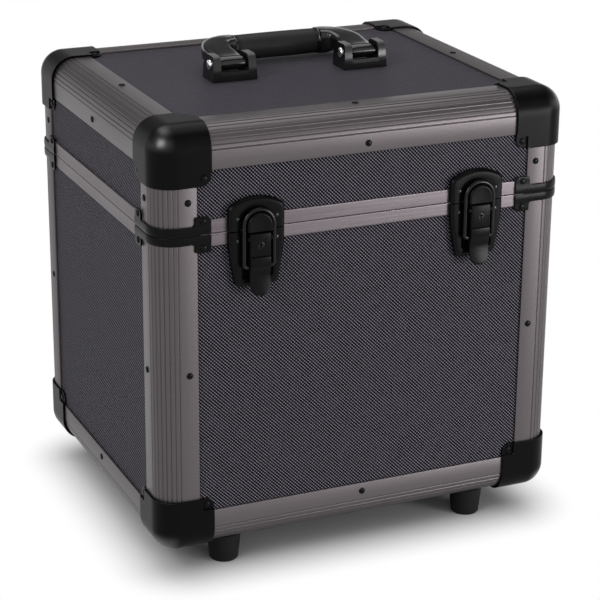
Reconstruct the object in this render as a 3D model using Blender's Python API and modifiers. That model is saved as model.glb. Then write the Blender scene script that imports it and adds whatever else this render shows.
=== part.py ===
"""Record carrying case: a lidded box of laminated boards in grooved aluminium angle.

The case stands on four rubber feet. Its lid turns on two butt hinges at the back and is held
shut by two lever latches at the front, each with a wire bail and a key lock. A folding handle
lies on the lid. X runs along the front from left to right, Y from the front to the back and Z
up, with the origin on the floor under the centre of the whole case. Lengths are in metres.

The body frame used below has its origin in the middle of the underside of the box itself. On
each outer face, u runs to the right as seen from outside, v up, and n out of the face.
"""

import math

import bmesh
import bpy
from mathutils import Matrix, Vector

MM = 0.001

# Whole case
CASE_WIDTH = 360 * MM
CASE_DEPTH = 302 * MM
CASE_HEIGHT = 357 * MM
LID_HEIGHT = 85 * MM
CLEARANCE = 0.3 * MM
OVERRUN = 2 * MM
SHAFT_SIDES = 12

# Boards and their lining
BOARD_THICKNESS = 7 * MM
LINING_THICKNESS = 3 * MM

# Aluminium angle along the edges
ANGLE_LEG = 34 * MM
ANGLE_WALL = 1.5 * MM
ANGLE_RADIUS = 20 * MM
GROOVE_COUNT = 8
GROOVE_WIDTH = 0.9 * MM
GROOVE_DEPTH = 0.5 * MM
INNER_ARC_STEPS = 4

# Rim strips where the lid meets the base
BASE_RIM_HEIGHT = 10.5 * MM
LID_RIM_HEIGHT = 11.4 * MM
RIM_WEB = 4.5 * MM
TONGUE_HEIGHT = 5 * MM
TONGUE_THICKNESS = 2 * MM
TONGUE_SETBACK = 0.5 * MM
TONGUE_CLEARANCE = 0.5 * MM
TONGUE_ROOT = 1 * MM
RIM_ARC_STEPS = 6

# Moulded corner caps
CAP_REACH = 46 * MM
CAP_WALL = 1.5 * MM
CAP_EASE = 1.5 * MM
CAP_EAR_RADIUS = 8 * MM
CAP_SEGMENTS = 4
CAP_EAR_SEGMENTS = 3

# Collars round the upright edges at the split
COLLAR_REACH = 45 * MM
COLLAR_EAR_WIDTH = 13 * MM
COLLAR_EAR_HEIGHT = 14.6 * MM
COLLAR_BAND_HEIGHT = 7.3 * MM
COLLAR_WALL = 1.2 * MM
COLLAR_GAP = 0.4 * MM
WELD_DEPTH = 0.6 * MM

# Rivets and screws, whose heads are one with the piece that they hold
RIVET_RADIUS = 2.8 * MM
RIVET_HEIGHT = 1.2 * MM
RIVET_EDGE_DISTANCE = 26.5 * MM
RIVET_SIDES = 8
RIVET_CROWN_SHARE = 0.6
CAP_RIVET_DISTANCE = 40 * MM
BASE_POST_RIVET_SHARE = 0.57
SCREW_RADIUS = 1.8 * MM
SCREW_HEIGHT = 0.8 * MM

# Rubber feet
FOOT_HEIGHT = 25 * MM
FOOT_TOP_RADIUS = 14.5 * MM
FOOT_BOTTOM_RADIUS = 12.2 * MM
FOOT_EDGE_ROUNDING = 1.5 * MM
FOOT_RECESS_RADIUS = 4 * MM
FOOT_RECESS_DEPTH = 8 * MM
FOOT_END_DISTANCE = 65.5 * MM
FOOT_SIDE_DISTANCE = 28 * MM
FOOT_SIDES = 20

# Butt hinges at the back
HINGE_END_DISTANCE = 82.5 * MM
HINGE_WIDTH = 50 * MM
HINGE_LEAF_HEIGHT = 28 * MM
HINGE_LEAF_START = 4.2 * MM
HINGE_LEAF_THICKNESS = 1.5 * MM
HINGE_AXIS_OFFSET = 4.6 * MM
HINGE_BARREL_RADIUS = 3.6 * MM
HINGE_PIN_RADIUS = 1.5 * MM
HINGE_CORNER_RADIUS = 5 * MM
HINGE_SCREW_RISE = 20 * MM
HINGE_SCREW_SPACING = 16 * MM
KNUCKLE_COUNT = 5
KNUCKLE_SETBACK = 0.4 * MM

# Latches on the front: plates
LATCH_END_DISTANCE = 82.5 * MM
PLATE_WIDTH = 48 * MM
PLATE_THICKNESS = 4.5 * MM
PLATE_FLOOR = 2 * MM
PLATE_BEVEL = 2.5 * MM
PLATE_PARTING = 0.5 * MM
LID_PLATE_HEIGHT = 27 * MM
LID_PLATE_SIDE = 19.5 * MM
BASE_PLATE_HEIGHT = 46 * MM
BASE_PLATE_STRAIGHT = 14 * MM
BASE_PLATE_FOOT_WIDTH = 36 * MM
CHANNEL_WIDTH = 27 * MM
CHANNEL_END = 6 * MM
PLATE_SCREW_SPACING = 33 * MM
LID_PLATE_SCREW_RISE = 10.3 * MM
BASE_PLATE_SCREW_DROP = 7.6 * MM
PLATE_ARC_STEPS = 8

# Latches: lever, pivot and lock
LEVER_WIDTH = 17.6 * MM
LEVER_BACK = 5.1 * MM
LEVER_FRONT = 12 * MM
LEVER_TOP = 0.9 * MM
LEVER_TOP_BEVEL = 0.9 * MM
LEVER_TOP_RELIEF = 1.6 * MM
LEVER_SEAM = 20 * MM
LEVER_SEAM_WIDTH = 0.8 * MM
LEVER_SEAM_DEPTH = 1.2 * MM
LEVER_STEP = 0.7 * MM
LEVER_BEND = 29 * MM
LEVER_HEEL = 33 * MM
LEVER_NECK = 36 * MM
LEVER_LENGTH = 52.6 * MM
TAB_NECK_FRONT = 10.6 * MM
TAB_END_FRONT = 13.2 * MM
TAB_THICKNESS = 1.6 * MM
PIVOT_HEIGHT = 9.2 * MM
PIVOT_DROP = 5.5 * MM
PIVOT_PIN_RADIUS = 1.2 * MM
LUG_THICKNESS = 1.2 * MM
LUG_RADIUS = 2.3 * MM
LUG_FOOT = 7 * MM
PIN_OVERHANG = 0.2 * MM
LOCK_DROP = 11.2 * MM
LOCK_RADIUS = 3.2 * MM
LOCK_PROUD = 0.2 * MM
KEYHOLE_WIDTH = 1.1 * MM
KEYHOLE_LENGTH = 4.2 * MM
KEYHOLE_DEPTH = 3 * MM

# Latches: keeper boss and wire bail
BOSS_RADIUS = 10.6 * MM
BOSS_FRONT = 12 * MM
BOSS_CENTRE_RISE = 4.9 * MM
BOSS_BEVEL = 1.5 * MM
BOSS_FOOT = 0.4 * MM
BOSS_ARC_STEPS = 10
BAIL_WIRE_RADIUS = 1.6 * MM
BAIL_CLEARANCE = 0.4 * MM
BAIL_HEIGHT = 8.2 * MM
BAIL_PIN_DROP = 29 * MM
BAIL_STUB_LENGTH = 2.8 * MM
BAIL_BEND_RADIUS = 2.2 * MM
BAIL_BEND_STEPS = 3
BAIL_ARC_STEPS = 12

# Handle brackets on the lid
BRACKET_SPACING = 120 * MM
BRACKET_WIDTH = 40 * MM
BRACKET_TOP_WIDTH = 37.6 * MM
BRACKET_NOTCH_WIDTH = 24.6 * MM
BRACKET_HEIGHT = 21.5 * MM
BRACKET_BAR_HEIGHT = 8.5 * MM
BRACKET_FLOOR = 3 * MM
BRACKET_FRONT = 18 * MM
BRACKET_BAR_DEPTH = 3.5 * MM
BRACKET_DEPTH = 24 * MM
BRACKET_SIDE_SHARES = ((0, 0), (0.04, 0.72), (0.17, 1), (0.74, 1), (1, 0.5), (1, 0))

# Handle arms and grip
HANDLE_AXIS_SETBACK = 8 * MM
HANDLE_AXIS_RISE = 12 * MM
BARREL_RADIUS = 6 * MM
BARREL_WIDTH = 24 * MM
HANDLE_PIN_RADIUS = 2 * MM
HANDLE_PIN_END = 0.6 * MM
GRIP_RADIUS = 11 * MM
GRIP_CORE_RADIUS = 5 * MM
GRIP_LENGTH = 80 * MM
GRIP_SWING = 48 * MM
GRIP_SIDES = 18
ARM_SIDES = 14
ARM_SQUARENESS = 0.6
ARM_RISE = 1.5 * MM
# Along each arm: share of the way in from the bracket to the grip's end, share of the way back
# from the axis to the grip, share of the rise, heading in degrees, and the half width and the
# half thickness as shares of the grip's radius.
ARM_STATION_SHARES = (
    (0.00, -0.05, 0.00, 0, 1.09, 0.48),
    (0.00, 0.33, 0.85, 0, 1.09, 0.52),
    (-0.02, 0.62, 1.00, 12, 1.14, 0.66),
    (0.20, 0.88, 0.90, 45, 1.16, 0.80),
    (0.62, 0.98, 0.50, 76, 1.08, 0.94),
    (1.00, 1.00, 0.30, 90, 0.97, 0.97),
)

# Places worked out from the sizes above
SPLIT_HEIGHT = CASE_HEIGHT - LID_HEIGHT
FACE_INSET = ANGLE_WALL + CLEARANCE
LINING_INSET = FACE_INSET + BOARD_THICKNESS + CLEARANCE
RIM_DEPTH = LINING_INSET + ANGLE_WALL
BOARD_INSET = ANGLE_RADIUS + CLEARANCE
ANGLE_END = ANGLE_LEG + CLEARANCE
BASE_RIM_FOOT = SPLIT_HEIGHT - BASE_RIM_HEIGHT
LID_RIM_TOP = SPLIT_HEIGHT + LID_RIM_HEIGHT
FOOT_SPACING = CASE_WIDTH - 2 * FOOT_END_DISTANCE
HINGE_SPACING = CASE_WIDTH - 2 * HINGE_END_DISTANCE
LATCH_SPACING = CASE_WIDTH - 2 * LATCH_END_DISTANCE
BAIL_RADIUS = BOSS_RADIUS + BAIL_CLEARANCE + BAIL_WIRE_RADIUS
HINGE_AXIS_Y = CASE_DEPTH / 2 + HINGE_AXIS_OFFSET
HANDLE_AXIS_Z = CASE_HEIGHT + HANDLE_AXIS_RISE
FRONT_REACH = TAB_END_FRONT
BACK_REACH = HINGE_AXIS_OFFSET + HINGE_BARREL_RADIUS
BODY_SHIFT = (FRONT_REACH - BACK_REACH) / 2
LATCH_SIDES = (("left", -1), ("right", 1))
CORNERS = ("front_left", "front_right", "back_right", "back_left")
CORNER_SIGNS = ((-1, -1), (1, -1), (1, 1), (-1, 1))
SIDE_TURNS = {"front": 0, "right": 90, "back": 180, "left": 270}
SWAP_LEGS = Matrix(((0, 1, 0, 0), (1, 0, 0, 0), (0, 0, -1, 0), (0, 0, 0, 1)))


def empty_scene():
    """Remove every object, so that the case is built from nothing."""
    for item in list(bpy.data.objects):
        bpy.data.objects.remove(item, do_unlink=True)


def new_collection(name):
    """Return a new collection that hangs under the scene."""
    collection = bpy.data.collections.new(name)
    bpy.context.scene.collection.children.link(collection)
    return collection


def make_material(name, colour, roughness, metallic):
    """Return a Principled material with the piece's colour, roughness and metallic value."""
    material = bpy.data.materials.new(name)
    material.use_nodes = True
    shader = material.node_tree.nodes["Principled BSDF"]
    shader.inputs["Base Color"].default_value = (*colour, 1.0)
    shader.inputs["Roughness"].default_value = roughness
    shader.inputs["Metallic"].default_value = metallic
    return material


def make_pivot(name, place, parent=None):
    """Return an empty at a place in the body frame, on a joint's axis or at the body's origin."""
    pivot = bpy.data.objects.new(name, None)
    collections["case"].objects.link(pivot)
    pivot.parent = parent
    pivot["body_place"] = place
    pivot.location = Vector(place)
    if parent is not None:
        pivot.location = Vector(place) - Vector(parent["body_place"])
    return pivot


def hang(item, parent, material, place=None, trim=None):
    """Put an object under its parent empty, with its matrix given in the body frame.

    A trim material goes on the faces that were marked as trim, such as rivet heads.
    """
    matrix = place if place is not None else Matrix.Identity(4)
    item.parent = parent
    item.matrix_local = Matrix.Translation(-Vector(parent["body_place"])) @ matrix
    open_slots(item)
    item.data.materials[0] = material
    item.data.materials[1] = trim if trim is not None else material
    return item


def open_slots(item):
    """Give an object a slot for its own material and one for its trim."""
    while len(item.data.materials) < 2:
        item.data.materials.append(None)


def mark_as_trim(item):
    """Give an object's faces the second material slot of the piece that it is joined to."""
    open_slots(item)
    for face in item.data.polygons:
        face.material_index = 1
    return item


def object_from_bmesh(name, shape):
    """Make an object in the case's collection from a bmesh, and free the bmesh."""
    mesh = bpy.data.meshes.new(name)
    shape.to_mesh(mesh)
    shape.free()
    item = bpy.data.objects.new(name, mesh)
    collections["case"].objects.link(item)
    return item


def block(name, low, high):
    """Return a box between two corners."""
    shape = bmesh.new()
    size = Vector(high) - Vector(low)
    middle = (Vector(high) + Vector(low)) / 2
    bmesh.ops.create_cube(shape, size=1, matrix=Matrix.Translation(middle) @ Matrix.Diagonal((*size, 1)))
    return object_from_bmesh(name, shape)


def rod(name, radius, length, sides=SHAFT_SIDES, end_radius=None, matrix=None):
    """Return a cylinder or cone along its own Z, centred on its origin before the matrix."""
    shape = bmesh.new()
    tip = radius if end_radius is None else end_radius
    bmesh.ops.create_cone(shape, cap_ends=True, segments=sides, radius1=radius, radius2=tip, depth=length,
                          matrix=matrix if matrix is not None else Matrix.Identity(4))
    return object_from_bmesh(name, shape)


def arc(centre, radius, start, end, steps):
    """Return points along a circular arc, with its angles in degrees."""
    angles = [math.radians(start + (end - start) * step / steps) for step in range(steps + 1)]
    return [(centre[0] + radius * math.cos(angle), centre[1] + radius * math.sin(angle))
            for angle in angles]


def rounded_rectangle(half_width, half_depth, radius, steps):
    """Return the outline of a rectangle with round corners, centred on its origin."""
    points = []
    for turn, (side_x, side_y) in enumerate(((1, 1), (-1, 1), (-1, -1), (1, -1))):
        centre = (side_x * (half_width - radius), side_y * (half_depth - radius))
        points += arc(centre, radius, 90 * turn, 90 * (turn + 1), steps)
    return points


def flat_shape(name, outlines, thickness):
    """Return a plate cut to closed outlines: a filled flat curve, extruded, made a clean mesh."""
    curve = bpy.data.curves.new(name, "CURVE")
    curve.dimensions = "2D"
    curve.fill_mode = "BOTH"
    curve.extrude = thickness / 2
    for outline in outlines:
        spline = curve.splines.new("POLY")
        spline.points.add(len(outline) - 1)
        for point, (x, y) in zip(spline.points, outline):
            point.co = (x, y, 0, 1)
        spline.use_cyclic_u = True
    return mesh_from_curve(name, curve)


def mesh_from_curve(name, curve):
    """Turn a curve into a mesh object with its caps welded on and its faces pointing out."""
    source = bpy.data.objects.new(name + "_curve", curve)
    collections["case"].objects.link(source)
    evaluated = source.evaluated_get(bpy.context.evaluated_depsgraph_get())
    mesh = bpy.data.meshes.new_from_object(evaluated)
    shape = bmesh.new()
    shape.from_mesh(mesh)
    bmesh.ops.remove_doubles(shape, verts=shape.verts, dist=CLEARANCE / 100)
    bmesh.ops.recalc_face_normals(shape, faces=shape.faces)
    bpy.data.objects.remove(source)
    bpy.data.curves.remove(curve)
    bpy.data.meshes.remove(mesh)
    return object_from_bmesh(name, shape)


def wire(name, points, radius):
    """Return a round wire along a path, as a curve with filled caps made a mesh."""
    curve = bpy.data.curves.new(name, "CURVE")
    curve.dimensions = "3D"
    curve.bevel_depth = radius
    curve.bevel_resolution = 2
    curve.use_fill_caps = True
    spline = curve.splines.new("POLY")
    spline.points.add(len(points) - 1)
    for point, place in zip(spline.points, points):
        point.co = (*place, 1)
    return mesh_from_curve(name, curve)


def loft(name, rings):
    """Join rings of points, each with as many, into one closed skin with flat ends."""
    shape = bmesh.new()
    rows = [[shape.verts.new(point) for point in ring] for ring in rings]
    count = len(rings[0])
    for row, following in zip(rows, rows[1:]):
        for side in range(count):
            after = (side + 1) % count
            shape.faces.new((row[side], row[after], following[after], following[side]))
    shape.faces.new(rows[0])
    shape.faces.new(rows[-1])
    bmesh.ops.recalc_face_normals(shape, faces=shape.faces)
    return object_from_bmesh(name, shape)


def soften_front(item, width, segments=1):
    """Bevel the outline of a plate's front face, the one at its highest local Z."""
    shape = bmesh.new()
    shape.from_mesh(item.data)
    bmesh.ops.dissolve_limit(shape, angle_limit=math.radians(1), verts=shape.verts, edges=shape.edges)
    top = max(vertex.co.z for vertex in shape.verts) - CLEARANCE
    edges = [edge for edge in shape.edges
             if all(vertex.co.z > top for vertex in edge.verts)
             and edge.calc_face_angle(0) > math.radians(30)]
    bmesh.ops.bevel(shape, geom=edges, offset=width, segments=segments, profile=0.5, affect="EDGES")
    shape.to_mesh(item.data)
    shape.free()
    return item


def combine(item, operation, tools):
    """Union, cut or intersect an object with tools given in its own frame, and keep the result."""
    open_slots(item)
    for tool in tools:
        open_slots(tool)
        collections["case"].objects.unlink(tool)
        collections["cutters"].objects.link(tool)
        tool.hide_render = True
        tool.display_type = "WIRE"
        modifier = item.modifiers.new(tool.name, "BOOLEAN")
        modifier.operation = operation
        modifier.solver = "EXACT"
        modifier.object = tool
    evaluated = item.evaluated_get(bpy.context.evaluated_depsgraph_get())
    old_mesh = item.data
    item.data = bpy.data.meshes.new_from_object(evaluated)
    item.modifiers.clear()
    bpy.data.meshes.remove(old_mesh)
    for tool in tools:
        bpy.data.objects.remove(tool)
    return item


def copy_of(pattern, name):
    """Return another object that shares the pattern's mesh."""
    item = bpy.data.objects.new(name, pattern.data)
    collections["case"].objects.link(item)
    return item


def discard(item):
    """Remove a pattern piece whose copies have been taken."""
    bpy.data.objects.remove(item)


def smooth(item, angle=35):
    """Shade round surfaces smooth and keep edges sharper than the angle."""
    item.data.shade_smooth()
    item.data.set_sharp_from_angle(angle=math.radians(angle))
    return item


def face_distance(face):
    """Return how far a side face stands from the middle of the case."""
    return CASE_DEPTH / 2 if face in ("front", "back") else CASE_WIDTH / 2


def face_half_width(face):
    """Return half the width of a side face, seen from outside."""
    return CASE_WIDTH / 2 if face in ("front", "back") else CASE_DEPTH / 2


def on_face(face, u, v, n=0.0):
    """Return the matrix that puts a local X, Y, Z on a face's u, v and outward n."""
    if face == "top":
        return Matrix.Translation((u, v, CASE_HEIGHT + n))
    if face == "bottom":
        return Matrix.Translation((u, v, -n)) @ Matrix.Rotation(math.pi, 4, "X")
    turn = Matrix.Rotation(math.radians(SIDE_TURNS[face]), 4, "Z")
    lift = Matrix.Rotation(math.pi / 2, 4, "X")
    return turn @ Matrix.Translation((u, -face_distance(face) - n, v)) @ lift


def axes_matrix(place, first, second):
    """Return the matrix that turns local X and Y to two world directions at a place."""
    first, second = Vector(first), Vector(second)
    matrix = Matrix((first, second, first.cross(second))).transposed().to_4x4()
    return Matrix.Translation(place) @ matrix


def corner_matrix(index, level):
    """Return the frame of one of the box's corners, with its legs running inwards along X, Y, Z."""
    turn = Matrix.Rotation(math.radians(90 * index), 4, "Z")
    side_x, side_y = CORNER_SIGNS[index]
    place = Matrix.Translation((side_x * CASE_WIDTH / 2, side_y * CASE_DEPTH / 2, level))
    return place @ turn


def build_boards():
    """Cut the ten laminated boards: five for the base and five for the lid."""
    half_width = CASE_WIDTH / 2 - BOARD_INSET
    half_depth = CASE_DEPTH / 2 - BOARD_INSET
    base_top = SPLIT_HEIGHT - RIM_WEB - CLEARANCE
    lid_bottom = LID_RIM_TOP - RIM_WEB + CLEARANCE
    levels = {"base": (BOARD_INSET, base_top), "lid": (lid_bottom, CASE_HEIGHT - BOARD_INSET)}
    for body, (low, high) in levels.items():
        for face in SIDE_TURNS:
            half = face_half_width(face) - BOARD_INSET
            board = block(f"{body}_board_{face}", (-half, low, -FACE_INSET - BOARD_THICKNESS),
                          (half, high, -FACE_INSET))
            hang(board, pivots[body], materials["board"], on_face(face, 0, 0))
    for body, face in (("base", "bottom"), ("lid", "top")):
        board = block(f"{body}_board_{face}", (-half_width, -half_depth, -FACE_INSET - BOARD_THICKNESS),
                      (half_width, half_depth, -FACE_INSET))
        hang(board, pivots[body], materials["board"], on_face(face, 0, 0))


def angle_section():
    """Return the outline of the aluminium angle, with its outer corner at the origin.

    The legs run along +X and +Y. The round outside carries evenly spaced V grooves.
    """
    centre = (ANGLE_RADIUS, ANGLE_RADIUS)
    points = [(ANGLE_LEG, 0)]
    half_groove = math.degrees(GROOVE_WIDTH / 2 / ANGLE_RADIUS)
    points += arc(centre, ANGLE_RADIUS, 270, 270, 1)[:1]
    for groove in range(GROOVE_COUNT):
        angle = 270 - 90 * (groove + 0.5) / GROOVE_COUNT
        points += arc(centre, ANGLE_RADIUS, angle + half_groove, angle + half_groove, 1)[:1]
        points += arc(centre, ANGLE_RADIUS - GROOVE_DEPTH, angle, angle, 1)[:1]
        points += arc(centre, ANGLE_RADIUS, angle - half_groove, angle - half_groove, 1)[:1]
    points += arc(centre, ANGLE_RADIUS, 180, 180, 1)[:1]
    points += [(0, ANGLE_LEG), (ANGLE_WALL, ANGLE_LEG)]
    points += arc(centre, ANGLE_RADIUS - ANGLE_WALL, 180, 270, INNER_ARC_STEPS)
    points += [(ANGLE_LEG, ANGLE_WALL)]
    return points


def head(name, radius, height, matrix):
    """Return a rivet or screw head whose root is sunk in the wall at the matrix's origin."""
    place = matrix @ Matrix.Translation((0, 0, (height - WELD_DEPTH) / 2))
    item = rod(name, radius, height + WELD_DEPTH, RIVET_SIDES, radius * RIVET_CROWN_SHARE, place)
    return mark_as_trim(item)


def leg_rivets(distance, surface, level):
    """Return the rivets of an angle's two legs, in the frame of its outer corner."""
    on_first = Matrix.Translation((distance, surface, level)) @ Matrix.Rotation(math.pi / 2, 4, "X")
    on_second = Matrix.Translation((surface, distance, level)) @ Matrix.Rotation(-math.pi / 2, 4, "Y")
    return [head("rivet", RIVET_RADIUS, RIVET_HEIGHT, matrix) for matrix in (on_first, on_second)]


def angle_length(length, rivet_level):
    """Return a length of the aluminium angle, centred on its origin, with a rivet in each leg."""
    item = flat_shape("angle_pattern", [angle_section()], length)
    combine(item, "UNION", leg_rivets(RIVET_EDGE_DISTANCE, 0, rivet_level))
    return smooth(item)


def build_posts():
    """Stand a length of angle on each upright edge of the base and of the lid."""
    between_collar_and_cap = (COLLAR_EAR_HEIGHT + LID_HEIGHT - CAP_REACH) / 2
    rivet_levels = {"base": SPLIT_HEIGHT * BASE_POST_RIVET_SHARE,
                    "lid": SPLIT_HEIGHT + between_collar_and_cap}
    levels = {"base": (ANGLE_END, BASE_RIM_FOOT - CLEARANCE),
              "lid": (LID_RIM_TOP + CLEARANCE, CASE_HEIGHT - ANGLE_END)}
    for body, (low, high) in levels.items():
        middle = (low + high) / 2
        pattern = angle_length(high - low, rivet_levels[body] - middle)
        for index, corner in enumerate(CORNERS):
            post = copy_of(pattern, f"{body}_post_{corner}")
            hang(post, pivots[body], materials["angle"], corner_matrix(index, middle),
                 materials["black_metal"])
        discard(pattern)


def build_rails():
    """Lay a length of angle along each level edge of the base and of the lid."""
    inward = {"front": (0, 1, 0), "right": (-1, 0, 0), "back": (0, -1, 0), "left": (1, 0, 0)}
    for face, direction in inward.items():
        pattern = angle_length(2 * (face_half_width(face) - ANGLE_END), 0)
        for body, level, upward in (("base", 0, 1), ("lid", CASE_HEIGHT, -1)):
            rail = copy_of(pattern, f"{body}_rail_{face}")
            place = -Vector(direction) * face_distance(face) + Vector((0, 0, level))
            hang(rail, pivots[body], materials["angle"], axes_matrix(place, direction, (0, 0, upward)),
                 materials["black_metal"])
        discard(pattern)


def ring(name, outer_inset, inner_inset, low, high):
    """Return a ring that follows the case's outline between two insets from its outside."""
    outlines = []
    for inset in (outer_inset, inner_inset):
        outlines.append(rounded_rectangle(CASE_WIDTH / 2 - inset, CASE_DEPTH / 2 - inset,
                                          ANGLE_RADIUS - inset, RIM_ARC_STEPS))
    item = flat_shape(name, outlines, high - low)
    item.data.transform(Matrix.Translation((0, 0, (low + high) / 2)))
    return item


def corner_band(inner, outer):
    """Return the outline of a band round an upright edge, between two distances outside it."""
    centre = (ANGLE_RADIUS, ANGLE_RADIUS)
    outline = [(COLLAR_REACH, -outer)]
    outline += arc(centre, ANGLE_RADIUS + outer, 270, 180, RIM_ARC_STEPS)
    outline += [(-outer, COLLAR_REACH), (-inner, COLLAR_REACH)]
    outline += arc(centre, ANGLE_RADIUS + inner, 180, 270, RIM_ARC_STEPS)
    outline += [(COLLAR_REACH, -inner)]
    return outline


def upright_band(name, inner, outer, low, high):
    """Return a band round an upright edge between two levels."""
    item = flat_shape(name, [corner_band(inner, outer)], high - low)
    item.data.transform(Matrix.Translation((0, 0, (low + high) / 2)))
    return item


def collar(rim_height):
    """Return the collar round one upright edge of a rim: a low band with a taller ear at each end.

    It is welded to the rim nearly up to the rim's height, and above that its ears stand clear.
    """
    outer = CLEARANCE + COLLAR_WALL
    piece = upright_band("collar", -WELD_DEPTH, outer, COLLAR_GAP, COLLAR_EAR_HEIGHT)
    start = -outer - OVERRUN
    ear_start = COLLAR_REACH - COLLAR_EAR_WIDTH
    relief = block("collar_relief", (start, start, COLLAR_BAND_HEIGHT),
                   (ear_start, ear_start, COLLAR_EAR_HEIGHT + OVERRUN))
    clear = upright_band("collar_clear", -WELD_DEPTH - OVERRUN, CLEARANCE, rim_height - WELD_DEPTH,
                         COLLAR_EAR_HEIGHT + OVERRUN)
    combine(piece, "DIFFERENCE", [relief, clear])
    combine(piece, "UNION", leg_rivets(COLLAR_REACH - COLLAR_EAR_WIDTH / 2, -outer,
                                       (COLLAR_BAND_HEIGHT + COLLAR_EAR_HEIGHT) / 2))
    return mark_as_trim(piece)


def collars(rim_height, downwards):
    """Return a rim's four collars in the body frame."""
    pieces = []
    for index in range(4):
        piece = collar(rim_height)
        place = corner_matrix(index, SPLIT_HEIGHT)
        piece.data.transform(place @ SWAP_LEGS if downwards else place)
        pieces.append(piece)
    return pieces


def build_rims():
    """Make the two rim frames with their collars: a tongue on the base's, a rebate in the lid's."""
    half_gap = CLEARANCE / 2
    tongue_inner = RIM_DEPTH - TONGUE_SETBACK
    tongue_outer = tongue_inner - TONGUE_THICKNESS
    base_top = SPLIT_HEIGHT - half_gap
    tongue_top = SPLIT_HEIGHT + TONGUE_HEIGHT
    base_rim = ring("base_rim", 0, RIM_DEPTH, BASE_RIM_FOOT, base_top)
    tongue = ring("tongue", tongue_outer, tongue_inner, base_top - TONGUE_ROOT, tongue_top)
    combine(base_rim, "UNION", [tongue])
    slot = ring("slot", ANGLE_WALL, LINING_INSET, BASE_RIM_FOOT - OVERRUN, SPLIT_HEIGHT - RIM_WEB)
    combine(base_rim, "DIFFERENCE", [slot])
    combine(base_rim, "UNION", collars(BASE_RIM_HEIGHT, True))
    hang(smooth(base_rim), pivots["base"], materials["rim"], None, materials["black_metal"])

    lid_bottom = SPLIT_HEIGHT + half_gap
    lid_rim = ring("lid_rim", 0, RIM_DEPTH, lid_bottom, LID_RIM_TOP)
    rebate = ring("rebate", tongue_outer - TONGUE_CLEARANCE, RIM_DEPTH + OVERRUN, lid_bottom - OVERRUN,
                  tongue_top + TONGUE_CLEARANCE)
    slot = ring("slot", ANGLE_WALL, LINING_INSET, LID_RIM_TOP - RIM_WEB, LID_RIM_TOP + OVERRUN)
    combine(lid_rim, "DIFFERENCE", [rebate, slot])
    combine(lid_rim, "UNION", collars(LID_RIM_HEIGHT, False))
    hang(smooth(lid_rim), pivots["lid"], materials["rim"], None, materials["black_metal"])


def rounded_cube(name, low, high, radius, segments):
    """Return a cube between two values on every axis, with all its edges rounded."""
    item = block(name, (low,) * 3, (high,) * 3)
    shape = bmesh.new()
    shape.from_mesh(item.data)
    bmesh.ops.bevel(shape, geom=shape.edges, offset=radius, segments=segments, profile=0.5, affect="EDGES")
    shape.to_mesh(item.data)
    shape.free()
    return item


def corner_cap():
    """Return one corner cap, with the box's own corner at its origin and its legs along +X, +Y, +Z.

    It is a shell round the corner. On each face an ear steps down past the angle on to the board.
    """
    far = 2 * CAP_REACH
    inner_radius = ANGLE_RADIUS - CAP_EASE
    outer = -CLEARANCE - CAP_WALL
    cap = rounded_cube("cap_pattern", outer, far, inner_radius + CAP_WALL, CAP_SEGMENTS)
    hollow = rounded_cube("cap_hollow", -CLEARANCE, far - CAP_WALL, inner_radius, CAP_SEGMENTS)
    combine(cap, "DIFFERENCE", [hollow])
    end = CAP_REACH + OVERRUN
    ear_floor = FACE_INSET - CLEARANCE
    ear_top = ear_floor - CAP_WALL
    step = ANGLE_END + CAP_WALL
    ears = []
    pockets = []
    for axis in range(3):
        ear_low = [ANGLE_END] * 3
        ear_high = [end] * 3
        ear_low[axis], ear_high[axis] = outer, ear_floor
        ears.append(block(f"ear_{axis}", ear_low, ear_high))
        pocket_low = [step] * 3
        pocket_high = [end + OVERRUN] * 3
        pocket_low[axis], pocket_high[axis] = outer - OVERRUN, ear_top
        pockets.append(block(f"pocket_{axis}", pocket_low, pocket_high))
    combine(cap, "UNION", ears)
    combine(cap, "DIFFERENCE", pockets)
    trim = rounded_cube("cap_trim", -ANGLE_RADIUS, CAP_REACH, CAP_EAR_RADIUS, CAP_EAR_SEGMENTS)
    combine(cap, "INTERSECT", [trim])
    turns = (Matrix.Rotation(-math.pi / 2, 4, "Y"), Matrix.Rotation(math.pi / 2, 4, "X"),
             Matrix.Rotation(math.pi, 4, "X"))
    rivets = []
    for axis, turn in enumerate(turns):
        place = Vector((CAP_RIVET_DISTANCE,) * 3)
        place[axis] = ear_top
        rivets.append(head("rivet", RIVET_RADIUS, RIVET_HEIGHT, Matrix.Translation(place) @ turn))
    return smooth(combine(cap, "UNION", rivets))


def build_corner_caps():
    """Set a moulded cap on each of the box's eight corners, four to a body."""
    pattern = corner_cap()
    for index, corner in enumerate(CORNERS):
        for body, level, turn in (("base", 0, Matrix.Identity(4)), ("lid", CASE_HEIGHT, SWAP_LEGS)):
            cap = copy_of(pattern, f"{body}_cap_{corner}")
            hang(cap, pivots[body], materials["black_plastic"], corner_matrix(index, level) @ turn,
                 materials["black_metal"])
    discard(pattern)


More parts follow.
